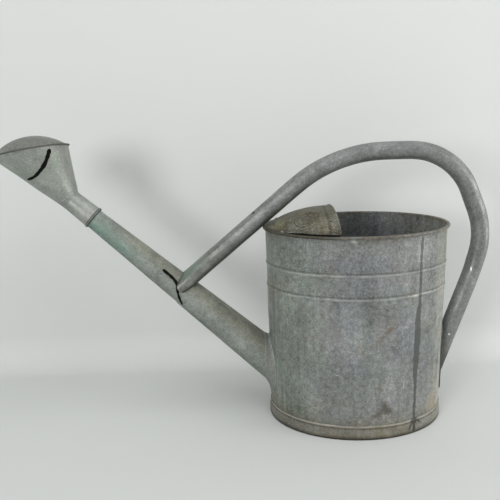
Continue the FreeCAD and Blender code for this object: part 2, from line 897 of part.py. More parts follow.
def handle_fork(doc):
    """The tube's spread front end, which straddles the upper half of the spout."""
    outer = spout_cone(doc, "ForkOuter", size("fork_sheet") + size("contact_gap"))
    inner = spout_cone(doc, "ForkInner", size("contact_gap"))
    skin = subtract(doc, outer, inner, "ForkSkin")
    block = doc.addObject("Part::Box", "ForkBlock")
    half = size("fork_half_width")
    deep = spout_radius(dim(0)) * 2.0
    bind(block, "Length", size("fork_block"))
    bind(block, "Width", deep)
    bind(block, "Height", half * 2.0)
    lean = size("strut_elevation")
    drop = size("fork_drop")
    place(
        block,
        size("fork_x") + sine(lean) * half - cosine(lean) * drop,
        deep * -0.5,
        size("fork_height") - cosine(lean) * half - sine(lean) * drop,
        (0, 1, 0),
        -lean,
    )
    return intersect(doc, skin, block, "HandleFork")


def build_back_plate(doc):
    """The tongue that carries the handle's lower end: a strap soldered to the back of the wall."""
    gap = size("contact_gap")
    outer = wall_core(doc, "BackPlateOuter", size("back_plate_sheet") + gap)
    inner = wall_core(doc, "BackPlateInner", gap)
    skin = subtract(doc, outer, inner, "BackPlateSkin")
    body = new_body(doc, "BackPlateOutline")
    half = size("back_plate_half_width")
    low = size("back_plate_bottom")
    high = size("back_plate_top")
    corner = size("back_plate_corner")
    corners = [
        (-half, low + corner),
        (-half + corner, low),
        (half - corner, low),
        (half, low + corner),
        (half, high - corner),
        (half - corner, high),
        (-half + corner, high),
        (-half, high - corner),
    ]
    arcs = {
        0: (corner, (-half + corner, low + corner), (-1, -1)),
        2: (corner, (half - corner, low + corner), (1, -1)),
        4: (corner, (half - corner, high - corner), (1, 1)),
        6: (corner, (-half + corner, high - corner), (-1, 1)),
    }
    sketch = outline(body, "BackPlateSketch", "YZ_Plane", corners, arcs)
    pad = body.newObject("PartDesign::Pad", "BackPlatePad")
    pad.Profile = sketch
    bind(pad, "Length", size("top_half_length") + size("tool_clear"))
    return export(intersect(doc, skin, body, "BackPlate"), "handle_back_plate")


def check_and_export(doc):
    doc.recompute()
    for item in doc.Objects:
        if "Invalid" in item.State or "Error" in item.State:
            raise RuntimeError(f"{item.Name} failed: {item.State}")
    for piece in EXPORTS:
        if piece.Shape.isNull() or not piece.Shape.isValid():
            raise RuntimeError(f"{piece.Label} has no valid shape")
    os.makedirs("parts", exist_ok=True)
    for piece in EXPORTS:
        piece.Shape.exportStep(f"parts/{piece.Label}.step")


def main():
    doc = FreeCAD.newDocument("WateringCan")
    make_sheet(doc)
    build_body_shell(doc)
    build_rim_wire(doc)
    build_foot(doc)
    build_bottom(doc)
    build_hood(doc)
    build_hood_wire(doc)
    build_hood_rivets(doc)
    build_spout(doc)
    build_spout_collar(doc)
    build_rose_socket(doc)
    build_rose_cone(doc)
    build_rose_face(doc)
    build_rose_rim(doc)
    build_handle(doc)
    build_back_plate(doc)
    check_and_export(doc)


main()
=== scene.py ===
import json
import random
from math import asin, copysign, cos, exp, hypot, pi, radians, sin, sqrt

import bmesh
import bpy
from mathutils import Matrix, Vector, noise


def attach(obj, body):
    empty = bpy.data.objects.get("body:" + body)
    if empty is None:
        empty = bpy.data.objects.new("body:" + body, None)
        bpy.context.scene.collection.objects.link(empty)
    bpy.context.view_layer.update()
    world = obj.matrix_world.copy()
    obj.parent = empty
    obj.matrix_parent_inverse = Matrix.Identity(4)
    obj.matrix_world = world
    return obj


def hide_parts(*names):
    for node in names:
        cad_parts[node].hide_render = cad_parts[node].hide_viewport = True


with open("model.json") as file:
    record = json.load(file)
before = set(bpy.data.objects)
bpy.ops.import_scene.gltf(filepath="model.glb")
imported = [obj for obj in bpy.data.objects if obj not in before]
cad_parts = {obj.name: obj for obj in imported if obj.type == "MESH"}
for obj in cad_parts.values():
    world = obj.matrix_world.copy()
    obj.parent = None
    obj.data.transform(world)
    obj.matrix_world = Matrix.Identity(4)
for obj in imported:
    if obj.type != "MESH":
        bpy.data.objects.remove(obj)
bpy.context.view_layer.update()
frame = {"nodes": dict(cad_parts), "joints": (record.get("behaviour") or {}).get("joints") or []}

# A weathered galvanised watering can. Metres and radians, in the CAD model's frame: the origin is on the
# floor under the oval body, the spout points to -X, the handle's lower end is at +X, +Z is up.

MM = 0.001
FULL = 2 * pi
UPRIGHT = Vector((0, 0, 1))


def mm(*values):
    """Millimetres as metres."""
    return tuple(value * MM for value in values)


# oval wall
HEIGHT = 291 * MM
TOP_HALF = 130 * MM
FOOT_HALF = 126.7 * MM
OVAL = 0.76
SHEET = 0.8 * MM
WALL_START = 3.5 * MM
BEADS = mm(237, 204.5)
BEAD_HALF = 2.6 * MM
BEAD_RISE = 1.0 * MM
CURL = 2.3 * MM
CURL_END = radians(-110)
DENT = 0.45 * MM
AROUND = 320

# foot band
BAND_TOP = 20.5 * MM
BAND_SHEET = 0.9 * MM
BAND_FLARE = 1.6 * MM
BAND_WIRE = 1.3 * MM
BAND_GAP = 0.05 * MM
BAND_FLAT = 0.35 * MM  # how much of the rolled edge is flattened where the can stands on it

# hood
HOOD_X = -36 * MM
HOOD_BASE = 291.75 * MM
HOOD_SHEET = 0.7 * MM
HOOD_CROWN = 24 * MM
HOOD_ARC = 182 * MM
HOOD_SHOULDER = 76 * MM
HOOD_FOOT = 84 * MM
HOOD_EDGE = 129.5 * MM
HOOD_EDGE_SIDE = 98.42 * MM
HEM = 2.1 * MM
HEM_STEP_X = -46.5 * MM
# a small pit on the near side of the hood, in plan
PIT = mm(-43.7, -60.5)
PIT_RADIUS = 1.7 * MM
# where solder shows round the hood's edge, and where a black bead of painted shadow fills the gap under its
# lifted near edge, in degrees
SOLDER_NEAR = (212, 243)
SOLDER_FAR = (118, 150)
GAP_SHADE_FROM = 217
GAP_SHADE_TURN = 37
# plain oval rings raised on the hood: their middle, lean, half axes, and each one's place and rise in mm
STAMP = Vector((-74.4, -42.5, 0)) * MM
STAMP_LEAN = radians(-18)
STAMP_HALF = mm(18, 22)
STAMP_RINGS = ((1.0, 0.9), (0.8, 0.7), (0.45, 0.5))

# spout and rose, along the axis that the rose turns on
TURN = next(j for j in frame["joints"] if j["name"] == "rose_turn")
AXIS = Vector(TURN["axis"]).normalized()
SIDE = Vector((0, 1, 0))
UP = SIDE.cross(AXIS).normalized()
SOCKET_START = 327 * MM
SOCKET_END = 368 * MM
ROOT = Vector(TURN["pos_m"]) - AXIS * SOCKET_START
ROOT_RADIUS = 26.7 * MM
PORT_RADIUS = 24.9 * MM  # of the hole in the wall behind the spout
TAPER = 0.0355
SPOUT_JOINT = 158 * MM
SPOUT_LAP = 14 * MM
SPOUT_SUNK = 0.75 * MM  # how much thinner the upper length is, to fit inside the lower one
SPOUT_END = 350 * MM
COLLAR_X = -134.5 * MM
ROSE_SHEET = 0.7 * MM
RIM_ALONG = 453.1 * MM
RIM_RISE = 17.8 * MM
RIM_RADIUS = 52 * MM
RIM_TILT = radians(38.6)
ROSE_TURNED = radians(8)

# lapped seams of the rolled tubes: place round the tube and width in degrees, and rise
SPOUT_SEAM = (168, 24, 0.5 * MM)
ROSE_SEAM = (188, 12, 0.45 * MM)
HANDLE_SEAM = (-58, 20, 0.55 * MM)

# strokes of sealant, each point with degrees round: along the rose from neck (0) to rim (1), the spout in mm
ROSE_STROKE = ((0.93, 49), (0.8, 60), (0.68, 74), (0.6, 91), (0.545, 112), (0.54, 140))
SPOUT_STROKE = ((206, 62), (192, 63), (181, 68), (175, 80), (164, 108), (150, 134))

# handle: its centre line starts just above the spout's axis; arcs are a radius, a turn and the run after
FORK = Vector((-256.4, 0, 204.9)) * MM
STRUT = radians(39.65)
STRUT_LENGTH = 221.7 * MM
HANDLE_ARCS = (
    (200 * MM, STRUT, 33.5 * MM),
    (94.3 * MM, radians(68), 30 * MM),
    (110 * MM, radians(35), 0),
    (500 * MM, radians(6), 137 * MM),
)
TUBE = 12.7 * MM
TUBE_SHEET = 0.9 * MM
FORK_HALF_WIDE = 23.9 * MM
FORK_HALF_DEEP = 12.0 * MM
FORK_TIP = -1.5 * MM
FORK_SPREAD = 62 * MM
FORK_CORNER = 9 * MM
PLATE = 2.05 * MM

# backdrop, light and camera
SWEEP_REACH = 6.0
SWEEP_TOP = 3.0
SWEEP_WALL_Y = 0.2
SWEEP_COVE = 0.06
LIGHT_AIM = Vector((-0.15, 0, 0.2))
# name, place, watts, width and colour
LIGHTS = (
    ("key", (-1.35, -2.1, 0.75), 20, 0.75, (1.0, 0.99, 0.97)),
    ("top", (0.1, -0.7, 1.9), 13, 1.6, (0.98, 0.99, 1.0)),
    ("right", (1.75, -0.6, 0.42), 17, 1.0, (1.0, 0.985, 0.96)),
)
WORLD_COLOUR = (0.97, 0.985, 1.0, 1)
WORLD_STRENGTH = 0.45
CAMERA_PLACE = (-0.1531, -0.8346, 0.4476)
CAMERA_PITCH = 0.2265
CAMERA_ROLL = -0.0318
CAMERA_LENS = 42.26
CAMERA_SENSOR = 36


def smooth(value, low, high):
    """0 below low, 1 above high and an even S between."""
    t = min(max((value - low) / (high - low), 0.0), 1.0)
    return t * t * (3 - 2 * t)


def shares(steps):
    """Evenly spaced values from 0 to 1."""
    return [i / steps for i in range(steps + 1)]


def all_round(count):
    """Evenly spaced angles of a full turn."""
    return [FULL * k / count for k in range(count)]


def circle(angle, radius, height):
    return Vector((cos(angle) * radius, sin(angle) * radius, height))


def ahead(heading):
    """The direction of a heading in the can's middle plane, 0 being +X."""
    return Vector((cos(heading), 0, sin(heading)))


def above(heading):
    """The direction at a right angle to a heading, on its upper side."""
    return Vector((-sin(heading), 0, cos(heading)))


# ---- mesh helpers


def object_from(name, points, faces):
    mesh = bpy.data.meshes.new(name)
    mesh.from_pydata([tuple(p) for p in points], [], faces)
    thing = bpy.data.objects.new(name, mesh)
    bpy.context.scene.collection.objects.link(thing)
    return thing


def piece_from(name, points, faces, body, slot, look=None, replaced=()):
    """A smooth shaded piece that rides on a body and stands for the named CAD nodes."""
    piece = object_from(name, points, faces)
    tidy_mesh(piece.data)
    if look:
        piece.data.materials.append(LOOKS[look])
    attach(piece, body)
    if replaced:
        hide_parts(*replaced)
    return piece


def tidy_mesh(mesh):
    """Join doubled points, turn every face outwards and keep only true edges sharp."""
    work = bmesh.new()
    work.from_mesh(mesh)
    bmesh.ops.remove_doubles(work, verts=work.verts, dist=0.002 * MM)
    bmesh.ops.dissolve_degenerate(work, edges=work.edges, dist=0.001 * MM)
    bmesh.ops.recalc_face_normals(work, faces=work.faces)
    work.to_mesh(mesh)
    work.free()
    mesh.shade_smooth()
    mesh.set_sharp_from_angle(angle=radians(42))


def stitch(rows, closed_rows, looped):
    """Faces between equal rows; closed_rows joins a row's ends, looped joins the last row to the first."""
    points = [p for row in rows for p in row]
    wide = len(rows[0])
    faces = []
    for i in range(len(rows) if looped else len(rows) - 1):
        here = i * wide
        there = (i + 1) % len(rows) * wide
        for k in range(wide if closed_rows else wide - 1):
            n = (k + 1) % wide
            faces.append((here + k, here + n, there + n, there + k))
    return points, faces


def capped(rows):
    """Closed rings joined into a solid with a flat face at each end."""
    points, faces = stitch(rows, True, False)
    wide = len(rows[0])
    last = (len(rows) - 1) * wide
    faces.append(tuple(range(wide)))
    faces.append(tuple(range(last, last + wide)))
    return points, faces


def cut_away(piece, rows):
    """Take the solid between rings out of a piece."""
    tool = object_from("tool", *capped(rows))
    tidy_mesh(tool.data)
    cut = piece.modifiers.new("cut", "BOOLEAN")
    cut.object = tool
    cut.operation = "DIFFERENCE"
    cut.solver = "EXACT"
    shape = piece.evaluated_get(bpy.context.evaluated_depsgraph_get())
    result = bpy.data.meshes.new_from_object(shape)
    piece.modifiers.clear()
    piece.data = result
    bpy.data.objects.remove(tool)
    tidy_mesh(piece.data)


def tube_rows(path, radii, ups=None, flat=1.0, sides=12, closed=False):
    """Rings round a path. With ups, the ring's height along each up is flat times its width."""
    rows = []
    count = len(path)
    carried = None
    for i, spot in enumerate(path):
        after = path[(i + 1) % count] if closed or i + 1 < count else spot
        before = path[i - 1] if closed or i else spot
        run = (after - before).normalized()
        rise = ups[i] if ups else (carried or run.orthogonal())
        rise = (rise - run * rise.dot(run)).normalized()
        carried = rise
        across = run.cross(rise)
        radius = radii[i]
        rows.append([
            spot + across * radius * cos(a) + rise * radius * flat * sin(a)
            for a in all_round(sides)
        ])
    return rows


def bead(name, path, radii, body, slot, look, closed=False, **shape):
    """A solid bead of solder, sealant or wire along a path."""
    rows = tube_rows(path, radii, closed=closed, **shape)
    points, faces = stitch(rows, True, True) if closed else capped(rows)
    return piece_from(name, points, faces, body, slot, look)


def through(knots, count):
    """count points on a smooth curve through a few knots."""
    spots = []
    for i in range(count):
        t = i / (count - 1) * (len(knots) - 1)
        k = min(int(t), len(knots) - 2)
        f = t - k
        a = knots[max(k - 1, 0)]
        b = knots[k]
        c = knots[k + 1]
        d = knots[min(k + 2, len(knots) - 1)]
        spots.append(tuple(
            q + 0.5 * ((r - p) * f + (2 * p - 5 * q + 4 * r - s) * f * f + (3 * q - p - 3 * r + s) * f ** 3)
            for p, q, r, s in zip(a, b, c, d)
        ))
    return spots


# ---- the can's own surfaces


def wall_radius(height):
    return FOOT_HALF + (TOP_HALF - FOOT_HALF) * height / HEIGHT


def on_oval(angle, radius, height):
    return Vector((radius * cos(angle), OVAL * radius * sin(angle), height))


def oval_rows(profile, wave):
    """Rings round the oval, one for each radius and height, with a wave added to the radius."""
    angles = all_round(AROUND)
    return [[on_oval(a, radius + wave(a, height), height) for a in angles] for radius, height in profile]


def outside_wall(spot, grow):
    """Positive when a point lies outside the wall's outer face, grown outwards."""
    half = wall_radius(spot.z)
    return hypot(spot.x / (half + grow), spot.y / (half * OVAL + grow)) - 1


def spout_radius(along):
    return ROOT_RADIUS - TAPER * along


def off_axis(angle):
    """A direction out from the spout's axis: angle 0 is the upper side, a quarter turn the near side."""
    return UP * cos(angle) - SIDE * sin(angle)


def round_spout(along, radius, angle):
    return ROOT + AXIS * along + off_axis(angle) * radius


def spout_meets_wall(angle, extra, grow):
    """Where the spout's cone, widened by extra, goes through the wall grown outwards."""
    low = -70 * MM
    high = 90 * MM
    for _ in range(40):
        middle = (low + high) / 2
        if outside_wall(round_spout(middle, spout_radius(middle) + extra, angle), grow) > 0:
            high = middle
        else:
            low = middle
    return low


# ---- looks

# tones of old zinc, dark to light: a place on the ramp and a colour
GREYS = (
    (0.12, (0.085, 0.09, 0.09)),
    (0.38, (0.165, 0.172, 0.17)),
    (0.62, (0.245, 0.25, 0.25)),
    (0.9, (0.38, 0.385, 0.38)),
)
BLACKS = ((0.2, (0.003, 0.003, 0.003)), (0.8, (0.009, 0.009, 0.0085)))


class Look:
    """A node material, painted layer by layer in the object's own coordinates."""

    def __init__(self, name, metal):
        self.material = bpy.data.materials.new(name)
        self.material.use_nodes = True
        self.tree = self.material.node_tree
        self.shader = self.tree.nodes["Principled BSDF"]
        self.shader.inputs["Metallic"].default_value = metal
        self.place = self.add("ShaderNodeTexCoord", {}).outputs["Object"]
        self.paint = None

    def add(self, kind, inputs, **settings):
        node = self.tree.nodes.new(kind)
        for key, value in settings.items():
            setattr(node, key, value)
        for key, value in inputs.items():
            self.feed(node.inputs[key], value)
        return node

    def feed(self, socket, value):
        if isinstance(value, bpy.types.NodeSocket):
            self.tree.links.new(value, socket)
        elif socket.type == "RGBA":
            socket.default_value = (*value, 1.0)
        else:
            socket.default_value = value

    def math(self, operation, first, second=0.0):
        return self.add("ShaderNodeMath", {0: first, 1: second}, operation=operation).outputs[0]

    def times(self, *values):
        total = values[0]
        for value in values[1:]:
            total = self.math("MULTIPLY", total, value)
        return total

    def plus(self, first, second):
        return self.math("ADD", first, second)

    def away(self, value, centre):
        """How far a value is from a centre, on either side."""
        return self.math("ABSOLUTE", self.math("SUBTRACT", value, centre))

    def either(self, first, second):
        return self.math("MAXIMUM", first, second)

    def coordinate(self, letter):
        return self.add("ShaderNodeSeparateXYZ", {0: self.place}).outputs[letter]

    def along(self, origin, direction):
        """Distance from a point in a direction."""
        offset = self.add("ShaderNodeVectorMath", {0: self.place, 1: origin}, operation="SUBTRACT")
        ends = {0: offset.outputs[0], 1: direction}
        return self.add("ShaderNodeVectorMath", ends, operation="DOT_PRODUCT").outputs["Value"]

    def radius(self, place):
        """The length of a vector."""
        return self.add("ShaderNodeVectorMath", {0: place}, operation="LENGTH").outputs["Value"]

    def moved(self, location, rotation, scale, kind="TEXTURE"):
        """The object's coordinates as seen from a placed, leaning and scaled frame."""
        inputs = {"Vector": self.place, "Location": location, "Rotation": rotation, "Scale": scale}
        return self.add("ShaderNodeMapping", inputs, vector_type=kind).outputs[0]

    def noise(self, scale, detail=4.0, rough=0.55, stretch=(1, 1, 1), shift=0.0, distort=0.0):
        """Cloudy noise from 0 to 1; scale counts features to a metre."""
        place = self.moved((shift, shift * 0.7, -shift), (0, 0, 0), stretch, "POINT")
        inputs = {"Vector": place, "Scale": scale, "Detail": detail, "Roughness": rough}
        return self.add("ShaderNodeTexNoise", {**inputs, "Distortion": distort}).outputs[0]

    def spread(self, value, low, high, to_low=0.0, to_high=1.0):
        """Map low to to_low and high to to_high, with an even S between."""
        inputs = dict(enumerate((value, low, high, to_low, to_high)))
        return self.add("ShaderNodeMapRange", inputs, interpolation_type="SMOOTHSTEP").outputs[0]

    def patches(self, scale, detail, low, high, to_low=0.0, to_high=1.0, **noise):
        """A patchy mask from noise."""
        return self.spread(self.noise(scale, detail, **noise), low, high, to_low, to_high)

    def band(self, value, centre, half, soft):
        """1 within half of a centre, fading over soft."""
        return self.spread(self.away(value, centre), half, half + soft, 1.0, 0.0)

    def blob(self, centre, radii, lean=0.0, edge=0.4, ragged=0.0):
        """An ellipsoid mask about a point, leaning about Y, with a soft and perhaps ragged edge."""
        out = self.radius(self.moved(centre, (0, lean, 0), radii))
        if ragged:
            out = self.plus(out, self.times(self.noise(260, 4, shift=centre[0] * 40), ragged))
        return self.spread(out, 1.0 - edge, 1.0 + edge * 0.2, 1.0, 0.0)

    def ramp(self, value, tones, tint):
        """Start the paint: a value looked up on tinted tones."""
        node = self.add("ShaderNodeValToRGB", {0: value})
        stops = node.color_ramp.elements
        while len(stops) < len(tones):
            stops.new(0.5)
        for stop, (where, colour) in zip(stops, tones):
            stop.position = where
            stop.color = (*(c * t for c, t in zip(colour, tint)), 1.0)
        self.paint = node.outputs[0]

    def layer(self, blend, colour, masks):
        inputs = {0: self.times(*masks), 6: self.paint, 7: colour}
        self.paint = self.add("ShaderNodeMix", inputs, data_type="RGBA", blend_type=blend).outputs[2]

    def glaze(self, colour, *masks):
        """Multiply what is there by a colour where all the masks say."""
        self.layer("MULTIPLY", colour, masks)

    def cover(self, colour, *masks):
        """Paint a colour over what is there where all the masks say."""
        self.layer("MIX", colour, masks)

    def patina(self, tint, blotch, streak, speck, grain=(1, 1, 1), size=1.0, tones=GREYS):
        """The mottle of old metal: clouds, run marks and fine speckle on one ramp of tones."""
        clouds = self.noise(13 * size, 9, 0.62, distort=0.4)
        runs = self.noise(85 * size, 5, 0.6, stretch=grain, shift=3.1)
        mottle = self.noise(150 * size, 4, 0.65, shift=6.9)
        fine = self.noise(420 * size, 5, 0.7, shift=1.7)
        value = 0.5
        for wave, amount in ((clouds, blotch), (runs, streak), (mottle, speck * 0.7), (fine, speck)):
            value = self.plus(value, self.times(self.math("SUBTRACT", wave, 0.5), amount * 2))
        self.ramp(value, tones, tint)

    def specks(self, colour, scale, amount, limit, shift=0.0, *where):
        """Small bright or dark flecks."""
        flecks = self.patches(scale, 2, limit, limit + 0.05, 0.0, amount, rough=0.5, shift=shift)
        self.cover(colour, flecks, *where)

    def finish(self, smooth_end, rough_end, relief=0.35, grain=520):
        """Roughness from broad noise and relief from fine noise, then the paint goes on."""
        self.feed(self.shader.inputs["Base Color"], self.paint)
        worn = self.patches(40, 6, 0.3, 0.7, smooth_end, rough_end, shift=5.3)
        self.feed(self.shader.inputs["Roughness"], worn)
        fine = self.times(self.noise(grain, 4, 0.65, shift=2.2), 0.6)
        broad = self.noise(110, 4, 0.6, shift=8.8)
        inputs = {"Strength": relief, "Distance": 0.5 * MM, "Height": self.plus(fine, broad)}
        self.feed(self.shader.inputs["Normal"], self.add("ShaderNodeBump", inputs).outputs[0])
        return self.material


# the dark run mark: its place across, as a share of STREAK_REACH, at shares of the wall's height
STREAK_REACH = 100 * MM
STREAK_COURSE = ((0.0, 0.712), (0.1, 0.712), (0.3, 0.709), (0.5, 0.719), (0.6, 0.722), (0.66, 0.736),
                 (0.8, 0.738), (0.9, 0.742), (1.0, 0.75))
STREAK_FOOT_X = 71.2
# where it splashes on the foot band: sideways, height, half length in mm, and lean
STREAK_LEGS = ((-6, 12, 10.5, 0.5), (7.2, 16.5, 7.5, -0.6))


def wet_streak(look):
    """The dark run mark down the near face, from under the rim to the foot."""
    height = look.coordinate("Z")
    across = look.coordinate("X")
    course = look.add("ShaderNodeFloatCurve", {"Value": look.math("DIVIDE", height, HEIGHT)})
    line = course.mapping.curves[0]
    for spot, share in STREAK_COURSE[1:-1]:
        line.points.new(spot, share)
    line.points[0].location = STREAK_COURSE[0]
    line.points[-1].location = STREAK_COURSE[-1]
    course.mapping.update()
    away = look.away(across, look.times(course.outputs[0], STREAK_REACH))
    belly = look.band(height, 0.135, 0.018, 0.055)
    half = look.plus(look.times(belly, 2.7 * MM), 1.9 * MM)
    ragged = look.math("SUBTRACT", look.noise(110, 5, 0.75, shift=4.4), 0.5)
    half = look.plus(half, look.times(ragged, 6.5 * MM))
    run = look.spread(look.math("SUBTRACT", away, half), -0.3 * MM, 0.6 * MM, 1.0, 0.0)
    near = look.spread(look.coordinate("Y"), -0.05, -0.045, 1.0, 0.0)
    run = look.times(run, near, look.spread(height, HEIGHT - 9 * MM, HEIGHT - 4 * MM, 1.0, 0.0))
    pool = look.blob(mm(STREAK_FOOT_X, -81, 18.5), mm(12.5, 20, 10.5), edge=0.3, ragged=0.8)
    for sideways, low, half_long, lean in STREAK_LEGS:
        leg = look.blob(mm(STREAK_FOOT_X + sideways, -81, low), mm(2.8, 30, half_long), lean, 0.4, 0.5)
        pool = look.either(pool, leg)
    return look.either(run, pool)


# stains and scratches that anyone would notice on the wall: centre and radii in mm, lean, colour, strength
WALL_MARKS = (
    ((30, -95, 160), (7, 20, 18), 0.9, (0.15, 0.12, 0.075), 0.9),
    ((20, -95, 149), (4.5, 20, 10), 0.5, (0.16, 0.13, 0.09), 0.75),
    ((25.5, -95, 51), (8.5, 30, 12.5), 0.2, (0.09, 0.075, 0.055), 0.85),
    ((29, -94, 43), (17.5, 30, 11.5), 0.5, (0.075, 0.06, 0.045), 0.85),
    ((16.5, -94, 38), (23, 30, 8), -0.55, (0.1, 0.085, 0.06), 0.75),
    ((104, -55, 36), (34, 50, 26), 0, (0.3, 0.23, 0.155), 0.5),
    ((53, -90, 77), (1.9, 20, 14), 0, (0.5, 0.52, 0.52), 0.6),
    ((-40, -92, 97), (9, 20, 1.1), 0.25, (0.6, 0.61, 0.6), 0.8),
    ((66.5, -84, 204.5), (7, 20, 3), 0, (0.62, 0.56, 0.44), 0.75),
    ((-19, -98, 284), (8, 20, 5), 0.3, (0.5, 0.5, 0.44), 0.55),
    ((-82, -75, 190), (20, 30, 20), 0, (0.21, 0.2, 0.18), 0.35),
    ((-45, -90, 165), (30, 30, 30), 0, (0.185, 0.17, 0.165), 0.35),
    ((50, 88, 120), (30, 30, 50), 0.2, (0.17, 0.155, 0.14), 0.4),
    ((-30, 96, 60), (40, 30, 20), 0, (0.2, 0.16, 0.11), 0.4),
)


def wall_look():
    """The body's sheet: mottled grey with run marks, greener to the spout, browner to the floor, with
    painted light on the +X end, painted highlights and shade at the beads and painted shade under the hood's
    near flange.
    """
    look = Look("wall_zinc", 0.3)
    look.patina((1, 1, 1), 0.46, 0.26, 0.62, (1, 1, 0.06))
    height = look.coordinate("Z")
    across = look.coordinate("X")
    clouds = look.noise(22, 5, 0.6, shift=7.7)
    runs = look.noise(120, 4, 0.6, stretch=(1, 1, 0.05), shift=9.9)
    to_spout = look.spread(across, -0.03, -0.11)
    look.glaze((0.95, 0.99, 0.94), look.spread(clouds, 0.4, 0.62))
    look.glaze((0.97, 0.985, 1.025), look.patches(17, 4, 0.5, 0.64, shift=12.1))
    look.glaze((0.94, 0.85, 0.8), look.patches(26, 5, 0.52, 0.66, 0.0, 0.8, rough=0.65, shift=21.0))
    look.glaze((0.93, 1.0, 0.9), to_spout)
    look.cover((0.4, 0.44, 0.4), to_spout, look.spread(runs, 0.52, 0.72, 0.0, 0.45))
    # painted light: the wall is lightened towards its +X end, standing in for light falling on that side
    look.glaze((1.6, 1.56, 1.43), look.spread(across, 0.085, 0.125))
    over_beads = look.spread(height, BEADS[0] - 2 * MM, BEADS[0] + 6 * MM)
    look.glaze((0.86, 0.86, 0.86), over_beads)
    look.specks((0.36, 0.37, 0.37), 330, 0.3, 0.57, 2.0, over_beads)
    for bead_height in BEADS:
        # painted shade in a line just above each bead, then a painted highlight along its crest, fading
        # towards the oval's ends
        look.glaze((0.66, 0.66, 0.64), look.band(height, bead_height + 3.1 * MM, 0.5 * MM, 1.6 * MM))
        look.cover((0.42, 0.43, 0.42), look.band(height, bead_height - 0.4 * MM, 0.8 * MM, 1.3 * MM),
                   look.patches(50, 5, 0.32, 0.6, 0.05, 0.5, shift=6.1),
                   look.spread(look.math("ABSOLUTE", across), 0.122, 0.1, 0.15, 1.0))
    look.glaze((0.8, 0.72, 0.6), look.spread(height, HEIGHT - 5 * MM, HEIGHT - 3.5 * MM),
               look.patches(90, 4, 0.35, 0.6, 0.2, 1.0))
    # darker rim on the near side towards the spout: dirt on the curl and painted shade under the hood's
    # flange
    look.glaze((0.42, 0.39, 0.34), look.spread(height, HEIGHT - 5.5 * MM, HEIGHT - 3.5 * MM),
               look.spread(across, -0.03, -0.05), look.spread(look.coordinate("Y"), 0.0, -0.03))
    look.glaze((0.9, 0.84, 0.7), look.spread(look.plus(height, look.times(clouds, 0.05)), 0.075, 0.03))
    look.glaze((0.66, 0.66, 0.64), look.spread(height, HEIGHT - 14 * MM, HEIGHT - 5 * MM, 0.0, 0.6),
               look.spread(runs, 0.35, 0.6, 0.3, 1.0))
    for centre, radii, lean, colour, strength in WALL_MARKS:
        look.cover(colour, look.blob(mm(*centre), mm(*radii), lean, 0.6, 0.7), strength)
    look.specks((0.55, 0.55, 0.53), 560, 0.55, 0.71, 0.6)
    look.specks((0.09, 0.09, 0.085), 380, 0.4, 0.64, 14.0)
    look.glaze((0.94, 0.9, 0.82), look.spread(height, 0.11, 0.0, 0.0, 0.3))
    look.cover((0.055, 0.06, 0.056), wet_streak(look), 0.84)
    return look.finish(0.4, 0.62, 0.3)


def band_look():
    """The foot band: khaki brown, with painted shadow at the floor, painted shade in a line below the lip
    and a painted highlight along its upper edge.
    """
    look = Look("foot_zinc", 0.22)
    look.patina((0.94, 0.89, 0.76), 0.5, 0.2, 0.5, (1, 1, 0.5))
    height = look.coordinate("Z")
    # painted shadow where the band stands on the floor, darkest in its last few millimetres
    look.glaze((0.6, 0.57, 0.52), look.spread(height, 0.008, 0.003))
    look.glaze((0.3, 0.3, 0.3), look.spread(height, 0.0042, 0.0018))
    # painted shade in a line below the lip
    look.glaze((0.62, 0.58, 0.52), look.band(height, BAND_TOP - 3.4 * MM, 0.4 * MM, 1.6 * MM))
    look.glaze((0.84, 0.78, 0.66), look.patches(30, 5, 0.45, 0.62, shift=1.3))
    # painted highlight along the top of the lip, broken up
    lip = look.band(height, BAND_TOP - 0.4 * MM, 0.9 * MM, 0.9 * MM)
    look.cover((0.4, 0.36, 0.28), lip, look.patches(70, 4, 0.3, 0.55, 0.2, 0.75))
    look.specks((0.45, 0.43, 0.38), 600, 0.5, 0.68)
    look.cover((0.036, 0.037, 0.03), wet_streak(look), 0.88)
    return look.finish(0.5, 0.72, 0.35)


def hood_look():
    """The hood: brown and khaki dirt on zinc, a green patch where it meets the strut, painted shade along
    the hem's step and in the pit.
    """
    look = Look("hood_zinc", 0.2)
    look.patina((0.68, 0.65, 0.52), 0.8, 0.15, 0.8, size=1.3)
    look.glaze((0.84, 0.78, 0.64), look.patches(34, 5, 0.42, 0.6, shift=3.3))
    look.cover((0.3, 0.32, 0.14), look.blob(mm(-112, -18, 293), mm(20, 30, 20), edge=0.9, ragged=0.5), 0.5)
    # painted shadow in a line along the hem's step
    look.glaze((0.55, 0.53, 0.5), look.band(look.coordinate("X"), HEM_STEP_X, 0.5 * MM, 3 * MM))
    out = look.radius(look.moved(STAMP, (0, 0, STAMP_LEAN), (*STAMP_HALF, 1.0e9)))
    for where, _ in STAMP_RINGS:
        look.glaze((0.6, 0.58, 0.54), look.band(out, where - 0.09, 0.02, 0.06))
        look.glaze((1.25, 1.22, 1.15), look.band(out, where, 0.02, 0.05))
    look.glaze((0.6, 0.56, 0.46), look.spread(look.coordinate("Z"), 0.2965, 0.2925, 0.0, 0.8),
               look.patches(150, 4, 0.35, 0.55, 0.3, 1.0))
    look.specks((0.42, 0.41, 0.34), 420, 0.45, 0.62)
    look.specks((0.05, 0.05, 0.045), 400, 0.6, 0.64, 4.0)
    # painted shade: the pit painted near black
    look.cover((0.02, 0.02, 0.02), look.blob((*PIT, 305 * MM), mm(2.2, 2.2, 2.2)))
    return look.finish(0.5, 0.72, 0.4)


